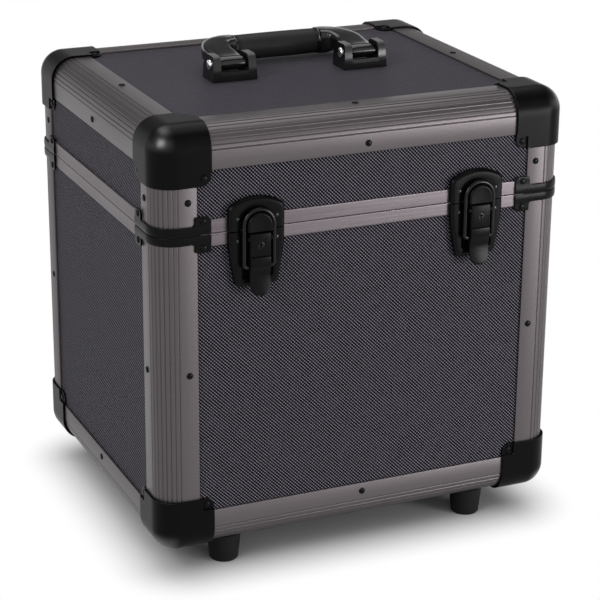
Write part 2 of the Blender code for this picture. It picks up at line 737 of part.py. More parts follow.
def build_linings():
    """Line the boards with thin foam: a tub in the base and a tray upside down in the lid."""
    bands = {"base": (LINING_INSET, BASE_RIM_FOOT - CLEARANCE,
                      LINING_INSET + LINING_THICKNESS, SPLIT_HEIGHT),
             "lid": (LID_RIM_TOP + CLEARANCE, CASE_HEIGHT - LINING_INSET, SPLIT_HEIGHT,
                     CASE_HEIGHT - LINING_INSET - LINING_THICKNESS)}
    for body, (low, high, hollow_low, hollow_high) in bands.items():
        half_x = CASE_WIDTH / 2 - LINING_INSET
        half_y = CASE_DEPTH / 2 - LINING_INSET
        lining = block(f"{body}_lining", (-half_x, -half_y, low), (half_x, half_y, high))
        half_x -= LINING_THICKNESS
        half_y -= LINING_THICKNESS
        hollow = block("hollow", (-half_x, -half_y, hollow_low), (half_x, half_y, hollow_high))
        combine(lining, "DIFFERENCE", [hollow])
        hang(lining, pivots[body], materials["lining"])


def build_feet():
    """Turn the four rubber feet, each with a screw recess in its sole."""
    profile = [(0, 0), (FOOT_TOP_RADIUS, 0), (FOOT_BOTTOM_RADIUS, FOOT_EDGE_ROUNDING - FOOT_HEIGHT),
               (FOOT_BOTTOM_RADIUS - FOOT_EDGE_ROUNDING, -FOOT_HEIGHT), (FOOT_RECESS_RADIUS, -FOOT_HEIGHT),
               (FOOT_RECESS_RADIUS, FOOT_RECESS_DEPTH - FOOT_HEIGHT), (0, FOOT_RECESS_DEPTH - FOOT_HEIGHT)]
    mesh = bpy.data.meshes.new("foot_profile")
    mesh.from_pydata([(x, 0, z) for x, z in profile], [(i, i + 1) for i in range(len(profile) - 1)], [])
    foot = bpy.data.objects.new("foot_pattern", mesh)
    collections["case"].objects.link(foot)
    turn = foot.modifiers.new("turn", "SCREW")
    turn.steps = turn.render_steps = FOOT_SIDES
    turn.use_merge_vertices = True
    turn.merge_threshold = CLEARANCE / 10
    combine(foot, "UNION", [])
    smooth(foot)
    for corner, (side_x, side_y) in zip(CORNERS, CORNER_SIGNS):
        place = (side_x * FOOT_SPACING / 2, side_y * (CASE_DEPTH / 2 - FOOT_SIDE_DISTANCE), -CLEARANCE)
        hang(copy_of(foot, f"foot_{corner}"), pivots["base"], materials["rubber"], Matrix.Translation(place))
    discard(foot)


def hinge_leaf(name, knuckles, with_pin):
    """Return an upper hinge leaf in its face frame, with the split at v zero and the axis along u.

    The plate starts clear of the barrel, and a tab runs down to each of the leaf's own knuckles.
    One leaf of a hinge has the pin staked in it, and the other turns on the pin.
    """
    half = HINGE_WIDTH / 2
    radius = HINGE_CORNER_RADIUS
    outline = [(-half, HINGE_LEAF_START), (half, HINGE_LEAF_START)]
    outline += arc((half - radius, HINGE_LEAF_HEIGHT - radius), radius, 0, 90, 3)
    outline += arc((radius - half, HINGE_LEAF_HEIGHT - radius), radius, 90, 180, 3)
    leaf = flat_shape(name, [outline], HINGE_LEAF_THICKNESS)
    leaf.data.transform(Matrix.Translation((0, 0, CLEARANCE + HINGE_LEAF_THICKNESS / 2)))
    pitch = HINGE_WIDTH / KNUCKLE_COUNT
    along = Matrix.Rotation(math.pi / 2, 4, "Y")
    parts = []
    for index in knuckles:
        start = -half + index * pitch + CLEARANCE / 2
        end = -half + (index + 1) * pitch - CLEARANCE / 2
        place = Matrix.Translation(((start + end) / 2, 0, HINGE_AXIS_OFFSET))
        parts.append(rod(f"knuckle_{index}", HINGE_BARREL_RADIUS, end - start, SHAFT_SIDES, None,
                         place @ along))
        low = (start + KNUCKLE_SETBACK, KNUCKLE_SETBACK, CLEARANCE + KNUCKLE_SETBACK)
        high = (end - KNUCKLE_SETBACK, HINGE_LEAF_START + OVERRUN, low[2] + HINGE_LEAF_THICKNESS)
        parts.append(block(f"tab_{index}", low, high))
    combine(leaf, "UNION", parts)
    surface = CLEARANCE + HINGE_LEAF_THICKNESS
    screws = [head("screw", SCREW_RADIUS, SCREW_HEIGHT,
                   Matrix.Translation((offset * HINGE_SCREW_SPACING, HINGE_SCREW_RISE, surface)))
              for offset in (-1, 0, 1)]
    combine(leaf, "UNION", screws)
    axis = Matrix.Translation((0, 0, HINGE_AXIS_OFFSET)) @ along
    if with_pin:
        return combine(leaf, "UNION", [rod("pin", HINGE_PIN_RADIUS, HINGE_WIDTH, SHAFT_SIDES, None, axis)])
    bore = rod("bore", HINGE_PIN_RADIUS + CLEARANCE, HINGE_WIDTH + OVERRUN, SHAFT_SIDES, None, axis)
    return combine(leaf, "DIFFERENCE", [bore])


def build_hinges():
    """Make the two butt hinges: a leaf with the pin on the base, and a leaf on the lid."""
    flip = Matrix.Rotation(math.pi, 4, "Z")
    steel = materials["hinge_steel"]
    for side, sign in LATCH_SIDES:
        place = on_face("back", -sign * HINGE_SPACING / 2, SPLIT_HEIGHT)
        base_leaf = hinge_leaf(f"hinge_{side}_base_leaf", range(0, KNUCKLE_COUNT, 2), True)
        hang(smooth(base_leaf), pivots["base"], steel, place @ flip, steel)
        lid_leaf = hinge_leaf(f"hinge_{side}_lid_leaf", range(1, KNUCKLE_COUNT, 2), False)
        hang(smooth(lid_leaf), pivots["lid"], steel, place, steel)


def plate(name, outline, screw_level):
    """Return a latch plate in its face frame, with bevelled front edges and two screws."""
    item = flat_shape(name, [outline], PLATE_THICKNESS)
    soften_front(item, PLATE_BEVEL)
    item.data.transform(Matrix.Translation((0, 0, CLEARANCE + PLATE_THICKNESS / 2)))
    surface = CLEARANCE + PLATE_THICKNESS
    screws = [head("screw", SCREW_RADIUS, SCREW_HEIGHT,
                   Matrix.Translation((side * PLATE_SCREW_SPACING / 2, screw_level, surface)))
              for side in (-1, 1)]
    return combine(item, "UNION", screws)


def half_round(name, radius, centre_rise, foot, low, high):
    """Return a D-shaped block that stands on its flat side, round at the top."""
    outline = [(-radius, foot), (radius, foot)]
    outline += arc((0, centre_rise), radius, 0, 180, BOSS_ARC_STEPS)
    item = flat_shape(name, [outline], high - low)
    item.data.transform(Matrix.Translation((0, 0, (low + high) / 2)))
    return item


def keeper_plate(name):
    """Return the lid's latch plate: an arched tray with the D-shaped keeper boss in it."""
    half = PLATE_WIDTH / 2
    rise = LID_PLATE_HEIGHT - LID_PLATE_SIDE
    radius = (half ** 2 + rise ** 2) / (2 * rise)
    reach = math.degrees(math.asin(half / radius))
    outline = [(-half, PLATE_PARTING), (half, PLATE_PARTING)]
    outline += arc((0, LID_PLATE_HEIGHT - radius), radius, 90 - reach, 90 + reach, PLATE_ARC_STEPS)
    item = plate(name, outline, LID_PLATE_SCREW_RISE)
    floor = CLEARANCE + PLATE_FLOOR
    channel = half_round("channel", CHANNEL_WIDTH / 2, BOSS_CENTRE_RISE, -OVERRUN, floor,
                         PLATE_THICKNESS + OVERRUN)
    combine(item, "DIFFERENCE", [channel])
    boss = half_round("boss", BOSS_RADIUS, BOSS_CENTRE_RISE, PLATE_PARTING, floor - PLATE_FLOOR / 2,
                      BOSS_FRONT)
    soften_front(boss, BOSS_BEVEL, 2)
    return combine(item, "UNION", [boss])


def lug(name, centre_u):
    """Return one of the base plate's ears, which carry the lever's pivot pin."""
    outline = [(CLEARANCE + PLATE_FLOOR / 2, -PIVOT_DROP - LUG_FOOT / 2),
               *arc((PIVOT_HEIGHT, -PIVOT_DROP), LUG_RADIUS, -90, 90, 6),
               (CLEARANCE + PLATE_FLOOR / 2, -PIVOT_DROP + LUG_FOOT / 2)]
    item = flat_shape(name, [outline], LUG_THICKNESS)
    item.data.transform(axes_matrix((centre_u, 0, 0), (0, 0, 1), (0, 1, 0)))
    return item


def base_plate(name):
    """Return the base's latch plate: a tapering tray with a channel, two lugs and the pivot pin."""
    half = PLATE_WIDTH / 2
    foot = BASE_PLATE_FOOT_WIDTH / 2
    outline = [(half, -PLATE_PARTING), (-half, -PLATE_PARTING), (-half, -BASE_PLATE_STRAIGHT),
               (-foot, PLATE_BEVEL - BASE_PLATE_HEIGHT), (PLATE_BEVEL - foot, -BASE_PLATE_HEIGHT),
               (foot - PLATE_BEVEL, -BASE_PLATE_HEIGHT), (foot, PLATE_BEVEL - BASE_PLATE_HEIGHT),
               (half, -BASE_PLATE_STRAIGHT)]
    item = plate(name, outline, -BASE_PLATE_SCREW_DROP)
    low = (-CHANNEL_WIDTH / 2, CHANNEL_END - BASE_PLATE_HEIGHT, CLEARANCE + PLATE_FLOOR)
    channel = block("channel", low, (CHANNEL_WIDTH / 2, OVERRUN, PLATE_THICKNESS + OVERRUN))
    combine(item, "DIFFERENCE", [channel])
    lug_u = LEVER_WIDTH / 2 + CLEARANCE + LUG_THICKNESS / 2
    length = 2 * (lug_u + LUG_THICKNESS / 2 + PIN_OVERHANG)
    pin = cross_rod("pin", PIVOT_PIN_RADIUS, length, PIVOT_HEIGHT, -PIVOT_DROP)
    return combine(item, "UNION", [lug("lug_left", -lug_u), lug("lug_right", lug_u), pin])


def cross_rod(name, radius, length, height, level):
    """Return a rod that runs across a latch, along u, for a pin or a bore."""
    place = Matrix.Translation((0, level, height)) @ Matrix.Rotation(math.pi / 2, 4, "Y")
    return rod(name, radius, length, SHAFT_SIDES, None, place)


def lever(name):
    """Return a latch's lever in its face frame: the lock housing above and the pull tab below."""
    step = LEVER_FRONT + LEVER_STEP
    profile = [(LEVER_BACK, -LEVER_TOP - LEVER_TOP_RELIEF), (LEVER_BACK + LEVER_TOP_RELIEF, -LEVER_TOP),
               (LEVER_FRONT - LEVER_TOP_BEVEL, -LEVER_TOP), (LEVER_FRONT, -LEVER_TOP - LEVER_TOP_BEVEL),
               (LEVER_FRONT, -LEVER_SEAM), (LEVER_FRONT - LEVER_SEAM_DEPTH, -LEVER_SEAM),
               (LEVER_FRONT - LEVER_SEAM_DEPTH, -LEVER_SEAM - LEVER_SEAM_WIDTH),
               (step, -LEVER_SEAM - LEVER_SEAM_WIDTH), (step, -LEVER_BEND), (TAB_NECK_FRONT, -LEVER_NECK),
               (TAB_END_FRONT, -LEVER_LENGTH), (TAB_END_FRONT - TAB_THICKNESS, -LEVER_LENGTH),
               (TAB_NECK_FRONT - TAB_THICKNESS, -LEVER_NECK), (LEVER_BACK, -LEVER_HEEL)]
    item = flat_shape(name, [profile], LEVER_WIDTH)
    item.data.transform(axes_matrix((0, 0, 0), (0, 0, 1), (0, 1, 0)))
    radius = LEVER_WIDTH / 2
    end = half_round("tab_end", radius, LEVER_LENGTH - radius, -OVERRUN, 0, 2 * LEVER_FRONT)
    end.data.transform(Matrix.Rotation(math.pi, 4, "Z"))
    combine(item, "INTERSECT", [end])
    lock_bore = rod("lock_bore", LOCK_RADIUS + CLEARANCE, 2 * LEVER_FRONT, SHAFT_SIDES, None,
                    Matrix.Translation((0, -LOCK_DROP, LEVER_FRONT)))
    pivot_bore = cross_rod("pivot_bore", PIVOT_PIN_RADIUS + CLEARANCE, PLATE_WIDTH, PIVOT_HEIGHT,
                           -PIVOT_DROP)
    bail_bore = cross_rod("bail_bore", BAIL_WIRE_RADIUS + CLEARANCE, PLATE_WIDTH, BAIL_HEIGHT,
                          -BAIL_PIN_DROP)
    return combine(item, "DIFFERENCE", [pivot_bore, bail_bore, lock_bore])


def bail(name):
    """Return a latch's wire bail: an arch over the boss, two legs, and stubs into the lever."""
    bend = BAIL_BEND_RADIUS
    stub_end = LEVER_WIDTH / 2 - BAIL_STUB_LENGTH
    right = [(BAIL_RADIUS, BOSS_CENTRE_RISE)]
    right += arc((BAIL_RADIUS - bend, bend - BAIL_PIN_DROP), bend, 0, -90, BAIL_BEND_STEPS)
    right.append((stub_end, -BAIL_PIN_DROP))
    left = [(-x, y) for x, y in right]
    arch = arc((0, BOSS_CENTRE_RISE), BAIL_RADIUS, 180, 0, BAIL_ARC_STEPS)
    path = left[:0:-1] + arch + right[1:]
    return wire(name, [(x, y, BAIL_HEIGHT) for x, y in path], BAIL_WIRE_RADIUS)


def lock_plug(name):
    """Return the turning core of a latch's lock, with a keyhole slot in its face."""
    front = LEVER_FRONT + LOCK_PROUD
    length = front - LEVER_BACK
    item = rod(name, LOCK_RADIUS, length, SHAFT_SIDES, None,
               Matrix.Translation((0, -LOCK_DROP, (front + LEVER_BACK) / 2)))
    slot = block("keyhole", (-KEYHOLE_WIDTH / 2, -LOCK_DROP - KEYHOLE_LENGTH / 2, front - KEYHOLE_DEPTH),
                 (KEYHOLE_WIDTH / 2, -LOCK_DROP + KEYHOLE_LENGTH / 2, front + OVERRUN))
    return combine(item, "DIFFERENCE", [slot])


def build_latches():
    """Make both latches: keeper plate on the lid, base plate, lever, bail and lock plug."""
    black = materials["black_metal"]
    steel = materials["lock_steel"]
    for side, sign in LATCH_SIDES:
        place = on_face("front", sign * LATCH_SPACING / 2, SPLIT_HEIGHT)
        hang(keeper_plate(f"latch_{side}_keeper"), pivots["lid"], black, place, steel)
        hang(base_plate(f"latch_{side}_plate"), pivots["base"], black, place, steel)
        hang(lever(f"latch_{side}_lever"), pivots[f"lever_{side}"], black, place)
        hang(smooth(bail(f"latch_{side}_bail")), pivots[f"bail_{side}"], black, place)
        hang(smooth(lock_plug(f"latch_{side}_lock_plug")), pivots[f"plug_{side}"], steel, place)


def bracket(name):
    """Return one handle bracket, standing on the lid's board: a notched block with the arm's pin."""
    half = BRACKET_WIDTH / 2
    half_top = BRACKET_TOP_WIDTH / 2
    front = [(-half, 0), (half, 0), (half_top, BRACKET_HEIGHT), (-half_top, BRACKET_HEIGHT)]
    item = flat_shape(name, [front], BRACKET_DEPTH)
    item.data.transform(axes_matrix((0, BRACKET_DEPTH / 2, 0), (1, 0, 0), (0, 0, 1)))
    side = [(share_y * BRACKET_DEPTH, share_z * BRACKET_HEIGHT) for share_y, share_z in BRACKET_SIDE_SHARES]
    profile = flat_shape("side_profile", [side], BRACKET_WIDTH + OVERRUN)
    profile.data.transform(axes_matrix((0, 0, 0), (0, 1, 0), (0, 0, 1)))
    combine(item, "INTERSECT", [profile])
    notch = BRACKET_NOTCH_WIDTH / 2
    top = BRACKET_HEIGHT + OVERRUN
    above_bar = block("above_bar", (-notch, -OVERRUN, BRACKET_BAR_HEIGHT),
                      (notch, BRACKET_BAR_DEPTH + OVERRUN, top))
    behind_bar = block("behind_bar", (-notch, BRACKET_BAR_DEPTH, BRACKET_FLOOR),
                       (notch, BRACKET_DEPTH + OVERRUN, top))
    axis = Matrix.Translation((0, BRACKET_FRONT - HANDLE_AXIS_SETBACK,
                               HANDLE_AXIS_RISE + FACE_INSET - CLEARANCE))
    combine(item, "DIFFERENCE", [above_bar, behind_bar])
    pin = rod("pin", HANDLE_PIN_RADIUS, BRACKET_WIDTH + 2 * HANDLE_PIN_END, SHAFT_SIDES, None,
              axis @ Matrix.Rotation(math.pi / 2, 4, "Y"))
    return combine(item, "UNION", [mark_as_trim(pin)])


def arm_ring(shares, sign):
    """Return one section of a handle arm: a squarish oval square to the arm's path."""
    along, back, rise, heading, width, thickness = shares
    start_x = BRACKET_SPACING / 2
    end_x = GRIP_LENGTH / 2
    middle = Vector((start_x + (end_x - start_x) * along, GRIP_SWING * back, ARM_RISE * rise))
    turn = math.radians(heading)
    sideways = Vector((math.cos(turn), math.sin(turn), 0))
    points = []
    for index in range(ARM_SIDES):
        angle = 2 * math.pi * (index + 0.5) / ARM_SIDES
        cosine, sine = math.cos(angle), math.sin(angle)
        across = math.copysign(abs(cosine) ** ARM_SQUARENESS, cosine) * width * GRIP_RADIUS
        upwards = math.copysign(abs(sine) ** ARM_SQUARENESS, sine) * thickness * GRIP_RADIUS
        point = middle + sideways * across + Vector((0, 0, upwards))
        points.append((sign * point.x, point.y, point.z))
    return points


def handle_arm(name, sign):
    """Return one handle arm about the handle's axis: a round barrel and a sweep to the grip."""
    arm = loft(name, [arm_ring(shares, sign) for shares in ARM_STATION_SHARES])
    place = Matrix.Translation((sign * BRACKET_SPACING / 2, 0, 0)) @ Matrix.Rotation(math.pi / 2, 4, "Y")
    combine(arm, "UNION", [rod("barrel", BARREL_RADIUS, BARREL_WIDTH, SHAFT_SIDES, None, place)])
    bore = rod("bore", HANDLE_PIN_RADIUS + CLEARANCE, BRACKET_WIDTH, SHAFT_SIDES, None, place)
    return combine(arm, "DIFFERENCE", [bore])


def build_handle():
    """Make the handle: two brackets, a frame of two arms on a core rod, and the grip round it."""
    axis = Matrix.Translation((0, -HANDLE_AXIS_SETBACK, HANDLE_AXIS_Z))
    gloss = materials["gloss_black"]
    for side, sign in LATCH_SIDES:
        foot = Matrix.Translation((sign * BRACKET_SPACING / 2, -BRACKET_FRONT,
                                   CASE_HEIGHT - FACE_INSET + CLEARANCE))
        hang(bracket(f"handle_bracket_{side}"), pivots["lid"], gloss, foot, materials["lock_steel"])
    frame = handle_arm("handle_frame", -1)
    rise = ARM_RISE * ARM_STATION_SHARES[-1][2]
    grip_axis = Matrix.Translation((0, GRIP_SWING, rise)) @ Matrix.Rotation(math.pi / 2, 4, "Y")
    core = rod("core", GRIP_CORE_RADIUS, GRIP_LENGTH + 2 * GRIP_RADIUS, SHAFT_SIDES, None, grip_axis)
    combine(frame, "UNION", [handle_arm("arm", 1), core])
    hang(smooth(frame), pivots["handle"], gloss, axis)
    grip = rod("handle_grip", GRIP_RADIUS, GRIP_LENGTH - 2 * CLEARANCE, GRIP_SIDES)
    combine(grip, "DIFFERENCE", [rod("grip_bore", GRIP_CORE_RADIUS + CLEARANCE, GRIP_LENGTH + OVERRUN)])
    hang(smooth(grip), pivots["handle"], materials["grip_rubber"], axis @ grip_axis)


def make_pivots():
    """Put an empty at the body's origin and one on the axis of every moving piece."""
    root = make_pivot("base_frame", (0, 0, 0))
    made = {"base": root, "lid": make_pivot("lid_hinge_axis", (0, HINGE_AXIS_Y, SPLIT_HEIGHT), root)}
    made["handle"] = make_pivot("handle_axis", (0, -HANDLE_AXIS_SETBACK, HANDLE_AXIS_Z), made["lid"])
    front = -CASE_DEPTH / 2
    for side, sign in LATCH_SIDES:
        x = sign * LATCH_SPACING / 2
        lever_place = (x, front - PIVOT_HEIGHT, SPLIT_HEIGHT - PIVOT_DROP)
        lever_axis = make_pivot(f"lever_axis_{side}", lever_place, root)
        bail_place = (x, front - BAIL_HEIGHT, SPLIT_HEIGHT - BAIL_PIN_DROP)
        plug_place = (x, front - LEVER_FRONT, SPLIT_HEIGHT - LOCK_DROP)
        made[f"lever_{side}"] = lever_axis
        made[f"bail_{side}"] = make_pivot(f"bail_axis_{side}", bail_place, lever_axis)
        made[f"plug_{side}"] = make_pivot(f"plug_axis_{side}", plug_place, lever_axis)
    root.location = (0, BODY_SHIFT, FOOT_HEIGHT + CLEARANCE)
    return made


empty_scene()
collections = {"case": new_collection("record_carrying_case"), "cutters": new_collection("cutters")}
materials = {
    "board": make_material("laminate_board", (0.065, 0.058, 0.068), 0.45, 0.0),
    "angle": make_material("anodised_angle", (0.30, 0.29, 0.27), 0.38, 0.9),
    "rim": make_material("brushed_rim", (0.66, 0.60, 0.62), 0.35, 0.9),
    "black_plastic": make_material("black_plastic", (0.012, 0.012, 0.013), 0.35, 0.0),
    "black_metal": make_material("black_painted_metal", (0.015, 0.015, 0.016), 0.3, 0.2),
    "gloss_black": make_material("gloss_black_metal", (0.012, 0.012, 0.012), 0.2, 0.2),
    "grip_rubber": make_material("grip_rubber", (0.02, 0.02, 0.02), 0.6, 0.0),
    "rubber": make_material("foot_rubber", (0.02, 0.02, 0.022), 0.5, 0.0),
    "lining": make_material("foam_lining", (0.03, 0.03, 0.032), 0.9, 0.0),
    "hinge_steel": make_material("hinge_steel", (0.35, 0.35, 0.35), 0.35, 1.0),
    "lock_steel": make_material("lock_steel", (0.6, 0.6, 0.6), 0.25, 1.0),
}
pivots = make_pivots()
build_boards()
build_posts()
build_rails()
build_rims()
build_corner_caps()
build_linings()
build_feet()
build_hinges()
build_latches()
build_handle()
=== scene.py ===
import math
from functools import partial
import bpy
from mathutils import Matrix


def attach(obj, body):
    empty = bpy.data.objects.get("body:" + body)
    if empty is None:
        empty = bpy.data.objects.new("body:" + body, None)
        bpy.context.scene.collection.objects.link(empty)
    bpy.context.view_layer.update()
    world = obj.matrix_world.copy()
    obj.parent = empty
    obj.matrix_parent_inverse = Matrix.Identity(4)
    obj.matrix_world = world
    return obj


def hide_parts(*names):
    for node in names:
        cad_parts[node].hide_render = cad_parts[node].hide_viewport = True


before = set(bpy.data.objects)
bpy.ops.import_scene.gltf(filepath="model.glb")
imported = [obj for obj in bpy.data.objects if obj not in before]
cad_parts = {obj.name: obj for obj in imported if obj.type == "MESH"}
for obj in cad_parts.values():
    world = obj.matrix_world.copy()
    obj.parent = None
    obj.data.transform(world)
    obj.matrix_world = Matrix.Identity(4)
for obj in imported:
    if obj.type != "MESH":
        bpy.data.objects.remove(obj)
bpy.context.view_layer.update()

from types import SimpleNamespace

import bmesh
import bpy
import numpy as np
from bpy.props import FloatProperty, FloatVectorProperty, IntProperty
from mathutils import Matrix

bl_info = {
    "name": "Record carrying case",
    "version": (1, 0, 0),
    "blender": (4, 5, 0),
    "location": "View3D > Sidebar > Carrying case",
    "description": "Dresses the packed carrying case with its angle, caps, latches, handle and finishes",
    "category": "Object",
}

MM = 0.001
# Where the case's own frame, with z zero under the boards' angle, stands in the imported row, in mm.
CASE_ORIGIN = np.array((0.0, 2.5, 25.3))
CORNERS = {"front_left": (-1, -1), "front_right": (1, -1), "back_right": (1, 1), "back_left": (-1, 1)}
SIDES = {"left": -1, "right": 1}
# Points closer than the first become one and edges shorter than the second go, in mm.
SEAM, SLIVER = 0.002, 0.001
# Edges over this many degrees stay sharp, where a piece asks for nothing else, and over the second are
# rounded, where a piece has rounded edges.
SHARP, ROUNDED = 35, 40


def length(name, millimetres, description):
    """A length that a user can change."""
    return FloatProperty(name=name, description=description, default=millimetres * MM, unit="LENGTH")


def colour(name, value, description):
    """A colour that a user can change."""
    return FloatVectorProperty(name=name, description=description, default=value, subtype="COLOR",
                               min=0.0, max=1.0)


class CaseSizes(bpy.types.PropertyGroup):
    """Overall sizes of the case, with the trim along its edges."""
    width: length("Width", 360, "Across the front, outside the angle")
    depth: length("Depth", 302, "From front to back, outside the angle")
    height: length("Height", 357, "Of the box without feet and handle")
    split: length("Split height", 272, "Where the lid meets the base")
    angle_leg: length("Angle leg", 34, "Width of each leg of the aluminium angle")
    angle_wall: length("Angle wall", 1.5, "Thickness of the angle")
    angle_radius: length("Angle radius", 20, "Rounding of the angle's outer corner")
    angle_start: length("Angle start", 34.3, "How far from a corner each length of angle starts")
    groove_width: length("Groove width", 0.85, "Width of each groove in the angle")
    groove_depth: length("Groove depth", 0.5, "Depth of each groove in the angle")
    groove_count: IntProperty(name="Grooves", description="Grooves round the angle's corner", default=8)
    rivet_radius: length("Rivet radius", 2.8, "Radius of the black rivet heads")
    rivet_height: length("Rivet height", 1.2, "Height of the black rivet heads")
    rivet_inset: length("Rivet inset", 26.5, "From the case's edge to the rivets in the angle")
    post_overrun: length("Post overrun", 6.2, "How close to the split the posts come behind the collars")
    rim_sink: length("Rim sink", 1.7, "How far the rims step in behind the posts")
    base_rim: length("Base rim height", 10.5, "Height of the bright strip on the base")
    lid_rim: length("Lid rim height", 11.4, "Height of the bright strip on the lid")


class CornerSizes(bpy.types.PropertyGroup):
    """Sizes of the moulded corner caps, of the collars at the split and of the feet."""
    cap_reach: length("Cap reach", 46, "How far a cap runs along each edge")
    cap_skin: length("Cap thickness", 1.5, "Wall of a cap")
    cap_radius: length("Cap radius", 20, "Outside rounding of a cap")
    cap_proud: length("Cap proud", 1.8, "How far a cap stands outside the angle")
    cap_pocket: length("Cap pocket", 35.8, "Where the sunk ear of a cap starts")
    cap_ear_radius: length("Cap ear radius", 8, "Rounding of the ear's outer corner")
    cap_rivet: length("Cap rivet", 40, "From the case's edge to the rivet in an ear")
    collar_reach: length("Collar reach", 45, "How far a collar runs along each face")
    collar_wall: length("Collar wall", 1.2, "Thickness of a collar")
    collar_proud: length("Collar proud", 1.5, "How far a collar stands outside the rim")
    collar_band: length("Collar band", 7.3, "Height of a collar between its ears")
    collar_ear: length("Collar ear height", 14.6, "Height of a collar's ears")
    collar_ear_width: length("Collar ear width", 13, "Width of a collar's ears")
    collar_gap: length("Collar gap", 0.4, "From the split to each collar")
    foot_height: length("Foot height", 25, "Height of a rubber foot")
    foot_top: length("Foot top radius", 14.5, "Radius of a foot under the case")
    foot_sole: length("Foot sole radius", 12.2, "Radius of a foot's sole")
    foot_spacing: length("Foot spacing", 229, "Between the feet, across the front")
    foot_inset: length("Foot inset", 28, "From the case's front or back to the middle of a foot")


class LatchSizes(bpy.types.PropertyGroup):
    """Sizes of the two latches."""
    spacing: length("Latch spacing", 195, "Between the two latches")
    plate_width: length("Plate width", 48, "Width of both plates")
    plate_front: length("Plate front", 4.8, "How far the plates stand off the case")
    plate_bevel: length("Plate bevel", 2.5, "Width of the sloping edge of the plates")
    plate_floor: length("Plate floor", 2.3, "Level of the channel's floor")
    keeper_height: length("Keeper height", 27, "Height of the plate on the lid")
    keeper_radius: length("Keeper arch radius", 42, "Radius of the keeper's arched top")
    base_height: length("Base plate height", 46, "Height of the plate on the base")
    base_straight: length("Base plate straight", 14, "Where the base plate starts to narrow")
    base_foot: length("Base plate foot", 36, "Width of the base plate at its foot")
    channel: length("Channel width", 27, "Width of the channel for the lever and bail")
    channel_end: length("Channel end", 6, "From the channel's end to the plate's foot")
    boss_radius: length("Boss radius", 10.6, "Radius of the keeper boss")
    boss_rise: length("Boss centre", 4.9, "Height of the boss's centre above the split")
    boss_front: length("Boss front", 12, "How far the boss stands off the case")
    boss_edge: length("Boss edge", 1.5, "Rounding of the boss's front edge")
    lever_width: length("Lever width", 17.6, "Width of the lever")
    lever_back: length("Lever back", 5.1, "Level of the lever's back")
    lever_front: length("Lever front", 12, "Level of the lever's front")
    lever_length: length("Lever length", 52.6, "From the split to the end of the pull tab")
    bail_radius: length("Bail radius", 12.6, "Radius of the bail's arch")
    bail_wire: length("Bail wire radius", 1.8, "Radius of the bail's wire")
    bail_level: length("Bail level", 8.2, "How far the wire's middle stands off the case")
    bail_drop: length("Bail pin drop", 29, "From the split to the bail's pin")
    pivot_drop: length("Pivot drop", 5.5, "From the split to the lever's pivot")
    pivot_level: length("Pivot level", 9.2, "How far the pivot stands off the case")
    lock_drop: length("Lock drop", 11.2, "From the split to the lock")
    lock_radius: length("Lock radius", 3.2, "Radius of the lock's turning core")


class HandleSizes(bpy.types.PropertyGroup):
    """Sizes of the folding handle and its brackets."""
    spacing: length("Bracket spacing", 120, "Between the two brackets")
    bracket_width: length("Bracket width", 40, "Width of a bracket at its foot")
    bracket_top: length("Bracket top width", 37.6, "Width of a bracket at its top")
    bracket_height: length("Bracket height", 21.5, "Height of a bracket")
    bracket_depth: length("Bracket depth", 24, "Depth of a bracket from front to back")
    bracket_front: length("Bracket front", 18, "From the lid's middle to a bracket's front")
    notch: length("Notch width", 24.6, "Width of the notch for the arm")
    bar_height: length("Bar height", 8.5, "Height of the bar across the notch's front")
    bar_depth: length("Bar depth", 3.5, "Depth of the bar across the notch's front")
    axis_back: length("Axis setback", 8, "From the lid's middle forward to the handle's axis")
    axis_rise: length("Axis rise", 12, "Height of the handle's axis above the case")
    barrel: length("Barrel radius", 6, "Radius of an arm's root round its pin")
    grip_radius: length("Grip radius", 11, "Radius of the round grip")
    grip_length: length("Grip length", 80, "Length of the round grip")
    swing: length("Swing", 48, "From the handle's axis to the grip's middle")
    rise: length("Arm rise", 1.5, "How far the arms arch up at rest")


class Finishes(bpy.types.PropertyGroup):
    """Colours of the materials."""
    laminate_dark: colour("Laminate ground", (0.0025, 0.0023, 0.0033), "Between the laminate's dots")
    # Painted highlight: the dots' light colour stands for light falling on the relief.
    laminate_dot_highlight: colour("Laminate dots", (0.150, 0.139, 0.167), "Raised dots of the laminate")
    angle: colour("Angle", (0.096, 0.085, 0.088), "Anodised aluminium angle")
    rim: colour("Rim", (0.112, 0.096, 0.104), "Bright strips at the split")
    cap: colour("Cap", (0.0016, 0.0016, 0.0018), "Moulded corner caps")
    latch: colour("Latch", (0.0018, 0.0018, 0.0020), "Painted latches and collars")
    handle: colour("Handle", (0.0035, 0.0035, 0.0038), "Gloss handle arms and brackets")
    grip: colour("Grip", (0.013, 0.012, 0.013), "Soft grip")
    rubber: colour("Foot rubber", (0.007, 0.007, 0.0075), "Feet")
    foam: colour("Foam", (0.030, 0.030, 0.033), "Lining")
    steel: colour("Steel", (0.55, 0.55, 0.56), "Hinges, pins and screws")
    # Painted shadow: this grey shows only round the case's footprint.
    floor: colour("Floor", (0.34, 0.34, 0.34), "Studio floor")


def own_keys(group):
    """The names of a property group's own values."""
    return [key for key in group.bl_rna.properties.keys() if key not in ("rna_type", "name")]


def in_millimetres(group):
    """A property group's values, with every length in millimetres."""
    values = {}
    for key in own_keys(group):
        value = getattr(group, key)
        is_length = getattr(group.bl_rna.properties[key], "unit", "NONE") == "LENGTH"
        values[key] = value / MM if is_length else value
    return SimpleNamespace(**values)


def sizes(context):
    """The case's, corners', latches' and handle's sizes in millimetres."""
    scene = context.scene
    return [in_millimetres(group) for group in
            (scene.case_sizes, scene.corner_sizes, scene.latch_sizes, scene.handle_sizes)]


# Shapes

